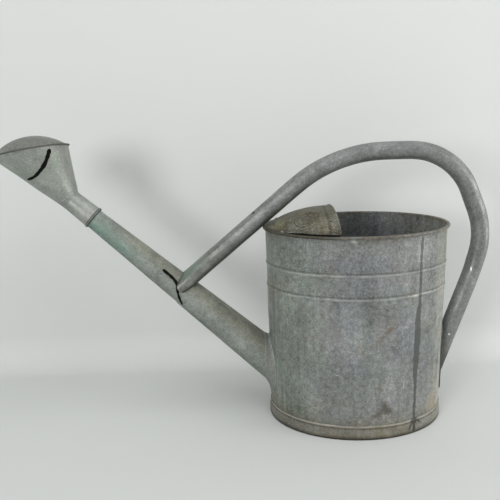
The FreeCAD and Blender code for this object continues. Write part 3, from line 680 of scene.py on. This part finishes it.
def spout_look():
    """The spout: grey green, turquoise paint towards the tip, brown dust along the top."""
    look = Look("spout_zinc", 0.3)
    look.patina((1.1, 1.16, 1.06), 0.42, 0.2, 0.5, (0.5, 1, 0.5), 1.5)
    along = look.along(ROOT, AXIS)
    height = look.along(ROOT, UP)
    cloud = look.noise(38, 5, 0.6, shift=2.7)
    painted = look.spread(look.plus(along, look.times(cloud, 0.09)), 0.24, 0.36)
    flank = look.spread(look.plus(height, look.times(cloud, 0.024)), 0.029, 0.006)
    torn = look.patches(190, 5, 0.34, 0.56, 0.35, 1.0, rough=0.7, shift=5.5)
    look.cover((0.15, 0.262, 0.216), painted, flank, torn, look.spread(cloud, 0.32, 0.6, 0.45, 0.9))
    look.cover((0.045, 0.08, 0.066), painted, look.spread(height, -0.004, -0.012),
               look.patches(240, 4, 0.52, 0.6, 0.0, 0.75, rough=0.7, shift=14.0))
    look.glaze((0.95, 0.89, 0.8), look.spread(height, 0.0, 0.014), look.spread(along, 0.32, 0.25))
    look.glaze((0.75, 0.8, 0.74), look.spread(height, -0.011, -0.019))
    look.cover((0.55, 0.56, 0.52), look.band(along, 0.219, 0.004, 0.01), look.patches(300, 3, 0.58, 0.64),
               look.spread(look.coordinate("Y"), 0.0, -0.01), look.band(height, -0.008, 0.002, 0.006), 0.5)
    look.specks((0.06, 0.1, 0.08), 520, 0.6, 0.67, 9.0)
    look.specks((0.6, 0.62, 0.58), 560, 0.5, 0.68, 4.0)
    return look.finish(0.42, 0.6, 0.3)


def rose_look(name, tint, metal=0.35):
    look = Look(name, metal)
    look.patina(tint, 0.28, 0.15, 0.3, (1, 1, 0.4), 1.8)
    look.glaze((0.94, 1.0, 0.95), look.patches(30, 4, 0.45, 0.6, shift=4.9))
    look.specks((0.75, 0.76, 0.72), 520, 0.6, 0.66, 2.0)
    look.specks((0.12, 0.12, 0.1), 460, 0.4, 0.7, 8.0)
    return look.finish(0.36, 0.56, 0.25)


# flecks of white paint on the near side of the handle's back: centre and radii in mm
HANDLE_FLECKS = (((167.5, -12.5, 219), (1.1, 6, 4.5)), ((139.4, -10.5, 120), (2, 6, 2.4)))


def handle_look():
    """The tube: blue grey, darker underneath, old paint at the fork, painted shade where the fork meets the
    spout and in a small dent, and some rust at its lower corner.
    """
    look = Look("handle_zinc", 0.34)
    look.patina((0.98, 0.99, 0.97), 0.42, 0.24, 0.5, (0.6, 1, 0.6), 1.5)
    along = look.along(FORK, ahead(STRUT))
    height = look.along(FORK, above(STRUT))
    on_strut = look.spread(along, 0.25, 0.22)
    look.glaze((0.42, 0.4, 0.36), on_strut, look.spread(height, -0.001, -0.0115))
    cloud = look.noise(45, 5, shift=6.6)
    torn = look.patches(190, 5, 0.36, 0.58, 0.25, 1.0, rough=0.7, shift=5.5)
    look.cover((0.145, 0.25, 0.206), look.spread(along, 0.066, 0.02), look.spread(height, 0.004, 0.0105),
               torn, look.spread(cloud, 0.3, 0.5, 0.3, 0.75))
    # painted shade on the tube where its fork lies against the spout
    level = look.along(ROOT, UP)
    sideways = look.coordinate("Y")
    from_axis = look.math("SQRT", look.plus(look.times(level, level), look.times(sideways, sideways)))
    at_fork = look.spread(along, 0.06, 0.05)
    look.glaze((0.3, 0.28, 0.25), look.spread(from_axis, 0.0245, 0.0212), at_fork)
    # painted shade: a near black mark for a small dent on the strut's upper edge
    nick_shade = FORK + ahead(STRUT) * 0.152 + above(STRUT) * 0.0115 - SIDE * 0.005
    look.cover((0.03, 0.03, 0.028), look.blob(nick_shade, mm(3.4, 5, 2.2), -STRUT, 0.3, 0.3))
    look.glaze((0.88, 0.9, 0.82), look.spread(along, 0.12, 0.05), on_strut)
    rust = look.blob(mm(-244.5, -21, 197.5), mm(5, 6, 6), edge=0.7, ragged=0.5)
    look.cover((0.2, 0.13, 0.07), rust, 0.7)
    for fleck, radii in HANDLE_FLECKS:
        look.cover((0.7, 0.72, 0.71), look.blob(mm(*fleck), mm(*radii), edge=0.3, ragged=0.2))
    look.specks((0.62, 0.62, 0.6), 430, 0.6, 0.68, 1.0)
    look.specks((0.08, 0.08, 0.07), 400, 0.5, 0.68, 6.0)
    return look.finish(0.36, 0.58, 0.3)


def plain_look(name, tint, metal, smooth_end, rough_end):
    look = Look(name, metal)
    look.patina(tint, 0.3, 0.15, 0.4, size=2.0)
    look.specks((0.6, 0.6, 0.56), 620, 0.4, 0.68)
    return look.finish(smooth_end, rough_end, 0.3)


def ring_look():
    """The ring at the rose's mouth: light on its crest, with painted shade darkening it down both sides into
    the corners.
    """
    look = Look("dark_ring", 0.3)
    look.patina((0.85, 0.88, 0.83), 0.3, 0.15, 0.4, size=2.0)
    crest = look.band(look.along(ROOT, AXIS), SOCKET_START + 2.0 * MM, 0.5 * MM, 0.7 * MM)
    # painted shade on all but the crest
    look.glaze((0.22, 0.23, 0.22), look.math("SUBTRACT", 1.0, crest))
    return look.finish(0.4, 0.6)


def inside_look():
    """The bottom plate, seen from above: lime rings and brown silt."""
    look = Look("bottom_zinc", 0.2)
    look.patina((0.9, 0.86, 0.76), 0.5, 0.1, 0.4, size=1.6)
    plan = look.moved((0, 0, 0), (0, 0, 0), (1.0, 1.0 / OVAL, 0.0), "POINT")
    wavy = look.plus(look.radius(plan), look.times(look.noise(24, 4), 0.03))
    look.cover((0.42, 0.41, 0.36), look.band(wavy, 0.118, 0.002, 0.006), look.noise(60, 4))
    look.glaze((0.7, 0.6, 0.44), look.spread(wavy, 0.11, 0.03, 0.0, 0.9))
    return look.finish(0.55, 0.8, 0.5)


def mastic_and_gap_shade_look():
    """Black mastic, dabbed on by hand; the same black paints the shadow in the gap under the hood's flange.
    """
    look = Look("black_mastic_and_gap_shade", 0.0)
    look.patina((1, 1, 1), 0.4, 0.1, 0.4, size=3.0, tones=BLACKS)
    look.shader.inputs["Specular IOR Level"].default_value = 0.06
    return look.finish(0.8, 0.95, 0.6, 900)


def solder_look():
    look = Look("soft_solder", 0.45)
    look.patina((1.45, 1.44, 1.34), 0.4, 0.1, 0.4, size=3.0)
    look.specks((0.16, 0.15, 0.12), 500, 0.6, 0.62)
    look.cover((0.04, 0.041, 0.035), wet_streak(look), 0.85)
    return look.finish(0.34, 0.55, 0.4)


LOOKS = {
    "wall": wall_look(),
    "band": band_look(),
    "hood": hood_look(),
    "spout": spout_look(),
    "cone": rose_look("rose_zinc", (1.27, 1.31, 1.2)),
    "neck": rose_look("rose_neck_zinc", (1.4, 1.42, 1.32), 0.5),
    "face": rose_look("rose_face_zinc", (0.92, 0.9, 0.82)),
    "handle": handle_look(),
    "plate": plain_look("plate_zinc", (0.5, 0.5, 0.48), 0.3, 0.45, 0.7),
    "wire": plain_look("plain_wire", (0.7, 0.7, 0.66), 0.5, 0.4, 0.6),
    "ring": ring_look(),
    "rim": plain_look("rose_rim_zinc", (0.42, 0.42, 0.38), 0.3, 0.4, 0.65),
    "rivet": plain_look("dull_rivet", (0.6, 0.58, 0.52), 0.4, 0.4, 0.6),
    "collar": plain_look("solder_zinc", (0.98, 1.0, 0.93), 0.3, 0.42, 0.6),
    "bottom": inside_look(),
    "mastic_and_gap_shade": mastic_and_gap_shade_look(),
    "solder": solder_look(),
}


# ---- body


def bead_swell(height):
    """How far the wall stands out at a height, because of its beads."""
    return sum(BEAD_RISE * (1 - smooth(abs(height - b), 0, BEAD_HALF * 1.25)) for b in BEADS)


def wall_heights():
    """Heights for the wall's rows, close together where a bead is."""
    top = HEIGHT - CURL
    heights = [WALL_START + (top - WALL_START) * t for t in shares(44)]
    for b in BEADS:
        heights = [h for h in heights if abs(h - b) > BEAD_HALF * 1.4]
        heights += [b + BEAD_HALF * 1.3 * i / 9 for i in range(-9, 10)]
    return sorted(heights)


def wall_dents(angle, height):
    """Shallow waves from years of knocks, fading to the foot and less towards the rim."""
    spot = circle(angle, 2.1, height * 15)
    fade = smooth(height, 0.0, 0.06) * (1 - 0.6 * smooth(height, 0.25, HEIGHT))
    return DENT * (noise.noise(spot) + 0.5 * noise.noise(spot * 2.7 + Vector((9, 3, 5)))) * fade


def make_body():
    top = HEIGHT - CURL
    hub = wall_radius(top) - SHEET + CURL
    bore = CURL - SHEET
    turns = 18
    angles = [pi + (CURL_END - pi) * i / turns for i in range(1, turns + 1)]
    profile = [(wall_radius(z) + bead_swell(z), z) for z in wall_heights()]
    profile += [(hub + bore * cos(a), top + bore * sin(a)) for a in angles]
    profile += [(hub + CURL * cos(a), top + CURL * sin(a)) for a in reversed(angles)]
    profile += [(wall_radius(z) + bead_swell(z) - SHEET, z) for z in reversed(wall_heights())]
    sheet = stitch(oval_rows(profile, wall_dents), True, True)
    piece = piece_from("body_shell_sheet", *sheet, "can", "wall_zinc", replaced=["body_shell"])
    cut_away(piece, [[round_spout(along, PORT_RADIUS, a) for a in all_round(48)] for along in mm(-60, 70)])
    piece.data.materials.append(LOOKS["wall"])


def make_wall_seam():
    """The flat lock seam that closes the wall, down the middle of its +X end."""
    half = 4.2 * MM
    rise = 0.75 * MM
    edge = 1.3 * MM
    section = ((-half - edge, -0.6), (-half, 0.75), (-half + edge, 1), (0, 0.96),
               (half - edge, 1), (half, 0.85), (half + 0.1 * MM, -0.6))
    rows = []
    for height in wall_heights():
        if height < BAND_TOP + 1 * MM or height > HEIGHT - 2 * CURL:
            continue
        base = wall_radius(height) + bead_swell(height)
        wander = 0.3 * MM * noise.noise(Vector((0, 3, height * 30)))
        row = []
        for sideways, out in section:
            angle = asin((sideways + wander) / (base * OVAL))
            row.append(on_oval(angle, base + rise * out, height))
        rows.append(row)
    piece_from("body_lock_seam", *capped(rows), "can", "wall_zinc", "wall")


def make_foot():
    inner = wall_radius(BAND_TOP) + BAND_GAP
    low = FOOT_HALF + BAND_FLARE
    wire = BAND_WIRE + BAND_SHEET
    rest = wire - BAND_FLAT
    hub = low + BAND_SHEET - wire
    curl = [-pi / 2 * i / 10 for i in range(11)]
    flare = []
    for t in shares(10)[1:]:
        flare.append((inner + (low - inner) * smooth(t, 0.05, 0.75), BAND_TOP + (rest - BAND_TOP) * t))
    crown = (inner + BAND_SHEET * 0.5, BAND_TOP + 0.25 * MM)
    profile = [(inner, BAND_TOP), crown, (inner + BAND_SHEET, BAND_TOP)]
    profile += [(radius + BAND_SHEET, height) for radius, height in flare]
    profile += [(hub + wire * cos(a), max(rest + wire * sin(a), 0.0)) for a in curl[1:]]
    profile += [(hub + BAND_WIRE * cos(a), rest + BAND_WIRE * sin(a)) for a in reversed(curl)]
    profile += flare[-2::-1]

    def wave(angle, height):
        return 0.35 * MM * noise.noise(circle(angle, 4, 2 + height * 20)) * smooth(height, 0, 0.01)

    sheet = stitch(oval_rows(profile, wave), True, True)
    piece_from("foot_band_sheet", *sheet, "can", "foot_zinc", "band", ["foot_band"])
    rng = random.Random(5)
    path = [on_oval(a, inner + 0.55 * MM, BAND_TOP + 0.2 * MM) for a in all_round(300)]
    radii = [(0.55 + 0.4 * noise.noise(p * 60) + 0.12 * rng.random()) * MM for p in path]
    bead("foot_solder", path, radii, "can", "solder_zinc", "solder", closed=True, sides=8)


# ---- hood


def hood_height(x, y):
    """The hood's upper face over a point of the plan."""
    out = hypot(x - HOOD_X, y)
    hub = HOOD_BASE + HOOD_CROWN - HOOD_ARC
    shoulder = hub + sqrt(HOOD_ARC ** 2 - HOOD_SHOULDER ** 2)
    if out < HOOD_SHOULDER:
        height = hub + sqrt(HOOD_ARC ** 2 - out ** 2)
    else:
        height = shoulder + (HOOD_BASE - shoulder) * smooth(out, HOOD_SHOULDER - 2 * MM, HOOD_FOOT)
    return height + hood_detail(x, y, out)


def hood_detail(x, y, out):
    """Dents, the hem's step, the plain oval rings, a pit and a lifted edge."""
    detail = 0.5 * MM * noise.noise(Vector((x * 26, y * 26, 4))) * (1 - smooth(out, 0.075, 0.085))
    detail -= 0.45 * MM * exp(-((x - HEM_STEP_X) / (1.1 * MM)) ** 2) * (1 - smooth(out, 0.07, 0.08))
    u = ((x - STAMP.x) * cos(STAMP_LEAN) + (y - STAMP.y) * sin(STAMP_LEAN)) / STAMP_HALF[0]
    v = ((y - STAMP.y) * cos(STAMP_LEAN) - (x - STAMP.x) * sin(STAMP_LEAN)) / STAMP_HALF[1]
    ring = hypot(u, v)
    for where, rise in STAMP_RINGS:
        detail += rise * MM * exp(-((ring - where) / 0.05) ** 2)
    detail -= 0.8 * MM * exp(-((x - PIT[0]) ** 2 + (y - PIT[1]) ** 2) / PIT_RADIUS ** 2)
    lift = smooth(out, 0.084, 0.094) * smooth(x, -0.1, -0.075) * smooth(-y, 0.04, 0.07)
    return detail + 1.4 * MM * lift


def hood_reach(angle):
    """How far the hood's flange runs from the middle of its open edge in a direction."""
    a = (cos(angle) / HOOD_EDGE) ** 2 + (sin(angle) / HOOD_EDGE_SIDE) ** 2
    b = 2 * HOOD_X * cos(angle) / HOOD_EDGE ** 2
    c = (HOOD_X / HOOD_EDGE) ** 2 - 1
    return (-b + sqrt(b * b - 4 * a * c)) / (2 * a)


def make_hood():
    rows = []
    for share in shares(260):
        angle = pi / 2 + pi * share
        flange = hood_reach(angle) - HOOD_FOOT
        radii = [HOOD_FOOT * t for t in shares(88)]
        radii += [HOOD_FOOT + flange * t for t in shares(12)[1:]]
        plan = [(HOOD_X + r * cos(angle), r * sin(angle)) for r in radii]
        top = [Vector((x, y, hood_height(x, y))) for x, y in plan]
        under = [p - UPRIGHT * HOOD_SHEET for p in reversed(top)]
        rows.append(top + under)
    piece_from("hood_sheet", *capped(rows), "can", "hood_zinc", "hood", ["hood"])
    make_hood_hem()
    make_hood_solder()


def make_hood_hem():
    """The hood's open edge, rolled over its wire from rim to rim."""
    path = []
    for t in shares(120):
        y = HOOD_FOOT * (2 * t - 1)
        end_lift = 1.2 * MM * smooth(abs(y), 0.08, HOOD_FOOT)
        path.append(Vector((HOOD_X + HEM * 0.75, y, hood_height(HOOD_X, y) - HEM * 0.35 + end_lift)))
    piece = bead("hood_rolled_edge", path, [HEM] * len(path), "can", "hood_zinc", "hood", sides=16)
    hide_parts("hood_edge_wire")


def on_flange(angle, proud=1.0, height=HOOD_BASE):
    """A point on the hood's outer edge, or a little proud of it."""
    return Vector((HOOD_EDGE * proud * cos(angle), HOOD_EDGE_SIDE * proud * sin(angle), height))


def make_hood_solder():
    """Blobs of solder and dirt where the flange lies on the rim, thickest on the near side, and a black bead
    of painted shadow in the gap under the flange's lifted near edge.
    """
    rng = random.Random(11)
    for number in range(34):
        near = number % 4 != 0
        angle = radians(rng.uniform(*(SOLDER_NEAR if near else SOLDER_FAR)))
        spot = on_flange(angle, height=HOOD_BASE + 0.1 * MM)
        run = Vector((-HOOD_EDGE * sin(angle), HOOD_EDGE_SIDE * cos(angle), 0)).normalized()
        spot += UPRIGHT * (rng.uniform(-0.9, 0.4) * MM)
        long = rng.uniform(1.2, 3.4) * MM
        path = [spot + run * long * t + UPRIGHT * (0.3 * MM * rng.random()) for t in (-1, -0.6, 0, 0.6, 1)]
        fat = rng.uniform(0.6, 1.15) * MM
        radii = [fat * share for share in (0.25, 0.8, 1.0, 0.75, 0.2)]
        bead(f"hood_solder_{number:02d}", path, radii, "can", "solder_zinc", "solder", sides=8)
    # painted shadow: a black bead along the gap under the flange's lifted near edge
    proud = 1 + 1.2 * MM / HOOD_EDGE
    angles = [radians(GAP_SHADE_FROM + GAP_SHADE_TURN * t) for t in shares(59)]
    path = [on_flange(a, proud, HOOD_BASE - 0.2 * MM) for a in angles]
    radii = [(1.15 * smooth(k, 0, 24) + 0.3 + 0.4 * noise.noise(p * 90)) * MM for k, p in enumerate(path)]
    bead("hood_gap_shade_bead", path, radii, "can", "solder_zinc", "mastic_and_gap_shade", sides=8)


# ---- spout


def tube_solid(outer, inner):
    """A thick tube from the rings of its outer and inner faces."""
    return stitch(outer + inner[::-1], True, True)


def seam_lift(angle, start, width, rise):
    """How far a lapped seam stands up: at its start by its rise, then easing down over its width."""
    turn = (angle - radians(start)) % FULL
    return rise * (1 - smooth(turn, 0, radians(width))) if turn < radians(width) else 0.0


def make_spout():
    shift = Vector((3, 7, 1))

    def ring(part, start, end, inset, at_wall):
        row = []
        for angle in all_round(96):
            begin = spout_meets_wall(angle, -inset, -1.2 * MM) if at_wall else start
            along = begin + (end - begin) * part
            wave = 0.22 * MM * noise.noise(Vector((along * 22, cos(angle), sin(angle))) + shift)
            lap = seam_lift(angle, *SPOUT_SEAM)
            row.append(round_spout(along, spout_radius(along) - inset + wave + lap, angle))
        return row

    for name, node, start, end, sunk in (
        ("spout_lower_tube", "spout_lower", 0, SPOUT_JOINT, 0),
        ("spout_upper_tube", "spout_upper", SPOUT_JOINT - SPOUT_LAP, SPOUT_END, SPOUT_SUNK),
    ):
        at_wall = start == 0
        outer = [ring(t, start, end, sunk, at_wall) for t in shares(40)]
        inner = [ring(t, start, end, sunk + SHEET, at_wall) for t in shares(40)]
        piece_from(name, *tube_solid(outer, inner), "can", "spout_zinc", "spout", [node])


def collar_reach(angle):
    """How far the collar's foot stands out from the spout: little at the top and sides, more below."""
    return (3.0 + 7.5 * ((1 - cos(angle)) / 2) ** 3) * MM


def collar_foot(angle, grow, scale=1.0):
    """A point where the collar's foot lies on the wall, or part of the way up it."""
    wide = collar_reach(angle) * (1 + 0.15 * noise.noise(circle(angle, 3, 1)))
    along = spout_meets_wall(angle, wide * scale, grow)
    return round_spout(along, spout_radius(along) + wide * scale, angle)


def collar_lip(angle, extra):
    """A point of the collar's upright end, where the spout's tube comes out of it."""
    out = UP.x * cos(angle)
    along = (COLLAR_X - ROOT.x - (ROOT_RADIUS + extra) * out) / (AXIS.x - TAPER * out)
    return round_spout(along, spout_radius(along) + extra, angle)


def make_collar():
    """The root of the spout: a fillet that flares from an upright joint line down onto the wall."""
    angles = all_round(120)
    rows = [[collar_foot(a, -0.3 * MM) for a in angles]]
    for t in shares(10):
        row = []
        for angle in angles:
            low = collar_foot(angle, 0.7 * MM)
            bend = collar_foot(angle, 1.6 * MM, 0.25)
            high = collar_lip(angle, 0.9 * MM)
            row.append(low * (1 - t) ** 2 + bend * 2 * t * (1 - t) + high * t * t)
        rows.append(row)
    rows.append([collar_lip(a, -0.3 * MM) for a in angles])
    rows.append([collar_foot(a, -0.4 * MM, 0.05) for a in angles])
    flange = stitch(rows, True, True)
    piece_from("spout_collar_flange", *flange, "can", "solder_zinc", "collar", ["spout_collar"])
    for name, path, fat in (
        ("spout_collar_solder", [collar_foot(a, 0.1 * MM) for a in angles], 0.7),
        ("spout_joint_solder", [collar_lip(a, 0.5 * MM) for a in angles], 0.55),
    ):
        radii = [(fat + 0.4 * noise.noise(p * 80)) * MM for p in path]
        bead(name, path, radii, "can", "solder_zinc", "solder", closed=True, sides=8)


# ---- rose


def turned(spot):
    """Turn a point of the rose about the spout's axis, as it sits on the can."""
    return Matrix.Rotation(ROSE_TURNED, 3, AXIS) @ (spot - ROOT) + ROOT


def on_cone(part, angle, inset=0.0):
    """A point of the oblique funnel, from its neck (0) to its rim (1)."""
    neck = spout_radius(SOCKET_END) + 1.0 * MM - inset
    low = round_spout(SOCKET_END, neck, angle)
    centre = ROOT + AXIS * RIM_ALONG + UP * RIM_RISE
    out = Matrix.Rotation(RIM_TILT, 3, SIDE) @ off_axis(angle)
    high = centre + out * (RIM_RADIUS - inset)
    return turned(low.lerp(high, part))


def cone_normal(part, angle):
    step = 0.01
    first = on_cone(part + step, angle) - on_cone(part - step, angle)
    second = on_cone(part, angle + step) - on_cone(part, angle - step)
    normal = second.cross(first).normalized()
    centre = sum((on_cone(part, a) for a in all_round(4)), Vector()) / 4
    return normal if normal.dot(on_cone(part, angle) - centre) > 0 else -normal


def make_rose():
    def ring(part, inset):
        row = []
        for angle in all_round(128):
            spot = on_cone(part, angle, inset)
            wave = 0.5 * MM * noise.noise(Vector((part * 3, cos(angle) * 1.4, sin(angle) * 1.4)))
            lap = seam_lift(angle, *ROSE_SEAM)
            ease = smooth(part, 0.02, 0.12) * (1 - smooth(part, 0.88, 0.99))
            row.append(spot + cone_normal(min(max(part, 0.02), 0.98), angle) * (wave + lap) * ease)
        return row

    outer = [ring(t, 0) for t in shares(26)]
    inner = [ring(t, ROSE_SHEET) for t in shares(26)]
    piece_from("rose_cone_sheet", *tube_solid(outer, inner), "rose", "rose_zinc", "cone", ["rose_cone"])
    path = [on_cone(0.0, a) for a in all_round(96)]
    radii = [(0.6 + 0.45 * noise.noise(p * 130)) * MM for p in path]
    bead("rose_neck_solder", path, radii, "rose", "rose_zinc", "solder", closed=True, sides=8)


def make_stroke(name, knots, surface, normal, widest, narrowest, body, slot):
    """A dab of black mastic brushed over a surface, through a few of its points."""
    spots = [(place, radians(turn)) for place, turn in through(knots, 40)]
    path = [surface(*spot) for spot in spots]
    ups = [normal(*spot) for spot in spots]
    bead(name, path, stroke_radii(path, widest, narrowest), body, slot, "mastic_and_gap_shade", ups=ups, flat=0.4)


def make_sealant_strokes():
    """One stroke down the rose and one over the spout's lap joint."""
    make_stroke("rose_sealant_stroke", ROSE_STROKE, on_cone, cone_normal, 2.9 * MM, 1.9 * MM,
                "rose", "rose_zinc")
    make_stroke("spout_sealant_stroke", SPOUT_STROKE,
                lambda along, angle: round_spout(along * MM, spout_radius(along * MM), angle),
                lambda _, angle: off_axis(angle), 2.4 * MM, 1.6 * MM, "can", "spout_zinc")


def stroke_radii(path, widest, narrowest):
    """A brush stroke's half widths: round at both ends, uneven between, thinner towards the end."""
    radii = []
    for i, spot in enumerate(path):
        t = i / (len(path) - 1)
        ends = sqrt(max(1 - abs(2 * t - 1) ** 14, 0.02))
        radii.append((widest + (narrowest - widest) * t) * ends * (1 + 0.4 * noise.noise(spot * 190)))
    return radii


# ---- handle


def handle_stations(step):
    """Points and headings along the handle's centre line, from near the spout's axis to inside the wall."""
    heading = STRUT
    spot = FORK + ahead(heading) * FORK_TIP
    stations = []
    runs = [(STRUT_LENGTH - FORK_TIP, None)]
    for radius, turn, line in HANDLE_ARCS:
        runs.append((radius * turn, radius))
        if line:
            runs.append((line, None))
    for length, radius in runs:
        count = max(int(length / step), 2)
        for _ in range(count):
            stations.append((spot.copy(), heading))
            move = length / count
            bend = move / radius if radius else 0.0
            spot = spot + ahead(heading - bend / 2) * move
            heading -= bend
    stations.append((spot.copy(), heading))
    return stations


def handle_ring(spot, heading, along, inset):
    """The tube's section: round, but spread and flattened where it straddles the spout."""
    spread = 1 - smooth(along, 12 * MM, FORK_SPREAD)
    wide = TUBE + (FORK_HALF_WIDE - TUBE) * spread - inset
    deep = TUBE + (FORK_HALF_DEEP - TUBE) * spread - inset
    power = 2 / (2 + 0.7 * spread)
    row = []
    for angle in all_round(72):
        c = cos(angle)
        s = sin(angle)
        u = copysign(abs(c) ** power, c)
        v = copysign(abs(s) ** power, s)
        lap = seam_lift(angle, *HANDLE_SEAM) * smooth(along, 0, 0.02)
        wave = 0.25 * MM * noise.noise(spot * 28 + Vector((c, s, 0)))
        point = spot + above(heading) * u * (deep + lap + wave) + SIDE * v * (wide + lap + wave)
        corner = (1 - smooth(along, FORK_TIP, FORK_TIP + 12 * MM)) * abs(u) ** 2.4 * FORK_CORNER
        row.append(point + ahead(heading) * corner)
    return row


def make_handle():
    """The tube, with the spout's cone taken out of its fork and the can's wall out of its lower end."""
    stations = handle_stations(4 * MM)
    outer = []
    inner = []
    along = FORK_TIP
    previous = stations[0][0]
    for spot, heading in stations:
        along += (spot - previous).length
        previous = spot
        outer.append(handle_ring(spot, heading, along, 0))
        inner.append(handle_ring(spot, heading, along, TUBE_SHEET))
    sheet = tube_solid(outer, inner)
    piece = piece_from("handle_tube_sheet", *sheet, "can", "handle_zinc", replaced=["handle_tube"])
    seat = [[round_spout(s, spout_radius(s) + 0.2 * MM, a) for a in all_round(96)] for s in mm(40, 300)]
    cut_away(piece, seat)
    core = []
    for height in mm(-20, 200):
        long = wall_radius(height) + PLATE
        wide = wall_radius(height) * OVAL + PLATE
        core.append([Vector((long * cos(a), wide * sin(a), height)) for a in all_round(200)])
    cut_away(piece, core)
    piece.data.materials.append(LOOKS["handle"])


# ---- the pieces that CAD shapes well

CAD_LOOKS = {
    "rose_face": "face",
    "rose_mouth_ring": "ring",
    "rose_rim": "rim",
    "rose_socket": "neck",
    "bottom_plate": "bottom",
    "rim_wire": "wire",
    "foot_wire": "wire",
    "hood_rivets": "rivet",
    "handle_back_plate": "plate",
}


def dress_cad():
    for node, look in CAD_LOOKS.items():
        mesh = frame["nodes"][node].data
        if not mesh.materials:
            mesh.materials.append(LOOKS[look])
        for i in range(len(mesh.materials)):
            mesh.materials[i] = LOOKS[look]


# ---- stage, light and camera


def sweep_look():
    """Matt and pale, and clear from its back, so that the can is seen from every side."""
    material = bpy.data.materials.new("pale_sweep")
    material.use_nodes = True
    tree = material.node_tree
    shader = tree.nodes["Principled BSDF"]
    clear = tree.nodes.new("ShaderNodeBsdfTransparent")
    sides = tree.nodes.new("ShaderNodeMixShader")
    tree.links.new(tree.nodes.new("ShaderNodeNewGeometry").outputs["Backfacing"], sides.inputs[0])
    tree.links.new(shader.outputs[0], sides.inputs[1])
    tree.links.new(clear.outputs[0], sides.inputs[2])
    tree.links.new(sides.outputs[0], tree.nodes["Material Output"].inputs["Surface"])
    shader.inputs["Base Color"].default_value = (0.645, 0.66, 0.645, 1)
    shader.inputs["Roughness"].default_value = 0.85
    return material


def make_sweep():
    """One pale sheet: floor, a soft cove close behind the can, and the wall."""
    bend = SWEEP_WALL_Y - SWEEP_COVE
    profile = [(-SWEEP_REACH, 0.0)]
    for t in shares(12):
        angle = pi / 2 * t
        profile.append((bend + SWEEP_COVE * sin(angle), SWEEP_COVE * (1 - cos(angle))))
    profile.append((SWEEP_WALL_Y, SWEEP_TOP))
    rows = [[Vector((x, y, z)) for x in (-SWEEP_REACH, SWEEP_REACH)] for y, z in profile]
    sweep = object_from("sweep", *stitch(rows, False, False))
    sweep.data.shade_smooth()
    sweep.data.materials.append(sweep_look())


def make_lights():
    for name, place, power, width, colour in LIGHTS:
        light = bpy.data.lights.new(name, "AREA")
        light.shape = "DISK"
        light.size = width
        light.energy = power
        light.color = colour
        lamp = bpy.data.objects.new(name, light)
        lamp.location = place
        lamp.rotation_euler = (LIGHT_AIM - Vector(place)).to_track_quat("-Z", "Y").to_euler()
        bpy.context.scene.collection.objects.link(lamp)
    world = bpy.data.worlds.new("room")
    world.use_nodes = True
    background = world.node_tree.nodes["Background"]
    background.inputs["Color"].default_value = WORLD_COLOUR
    background.inputs["Strength"].default_value = WORLD_STRENGTH
    bpy.context.scene.world = world
    bpy.context.scene.view_settings.view_transform = "Standard"


def make_camera():
    """A camera before the near side, looking a little down at the can."""
    camera = bpy.data.objects.new("camera", bpy.data.cameras.new("camera"))
    camera.data.lens = CAMERA_LENS
    camera.data.sensor_width = CAMERA_SENSOR
    lean = Matrix.Rotation(pi / 2 - CAMERA_PITCH, 4, "X") @ Matrix.Rotation(CAMERA_ROLL, 4, "Z")
    camera.matrix_world = Matrix.Translation(CAMERA_PLACE) @ lean
    bpy.context.scene.collection.objects.link(camera)
    bpy.context.scene.camera = camera


make_camera()
make_body()
make_wall_seam()
make_foot()
make_hood()
make_spout()
make_collar()
make_rose()
make_sealant_strokes()
make_handle()
dress_cad()
make_sweep()
make_lights()
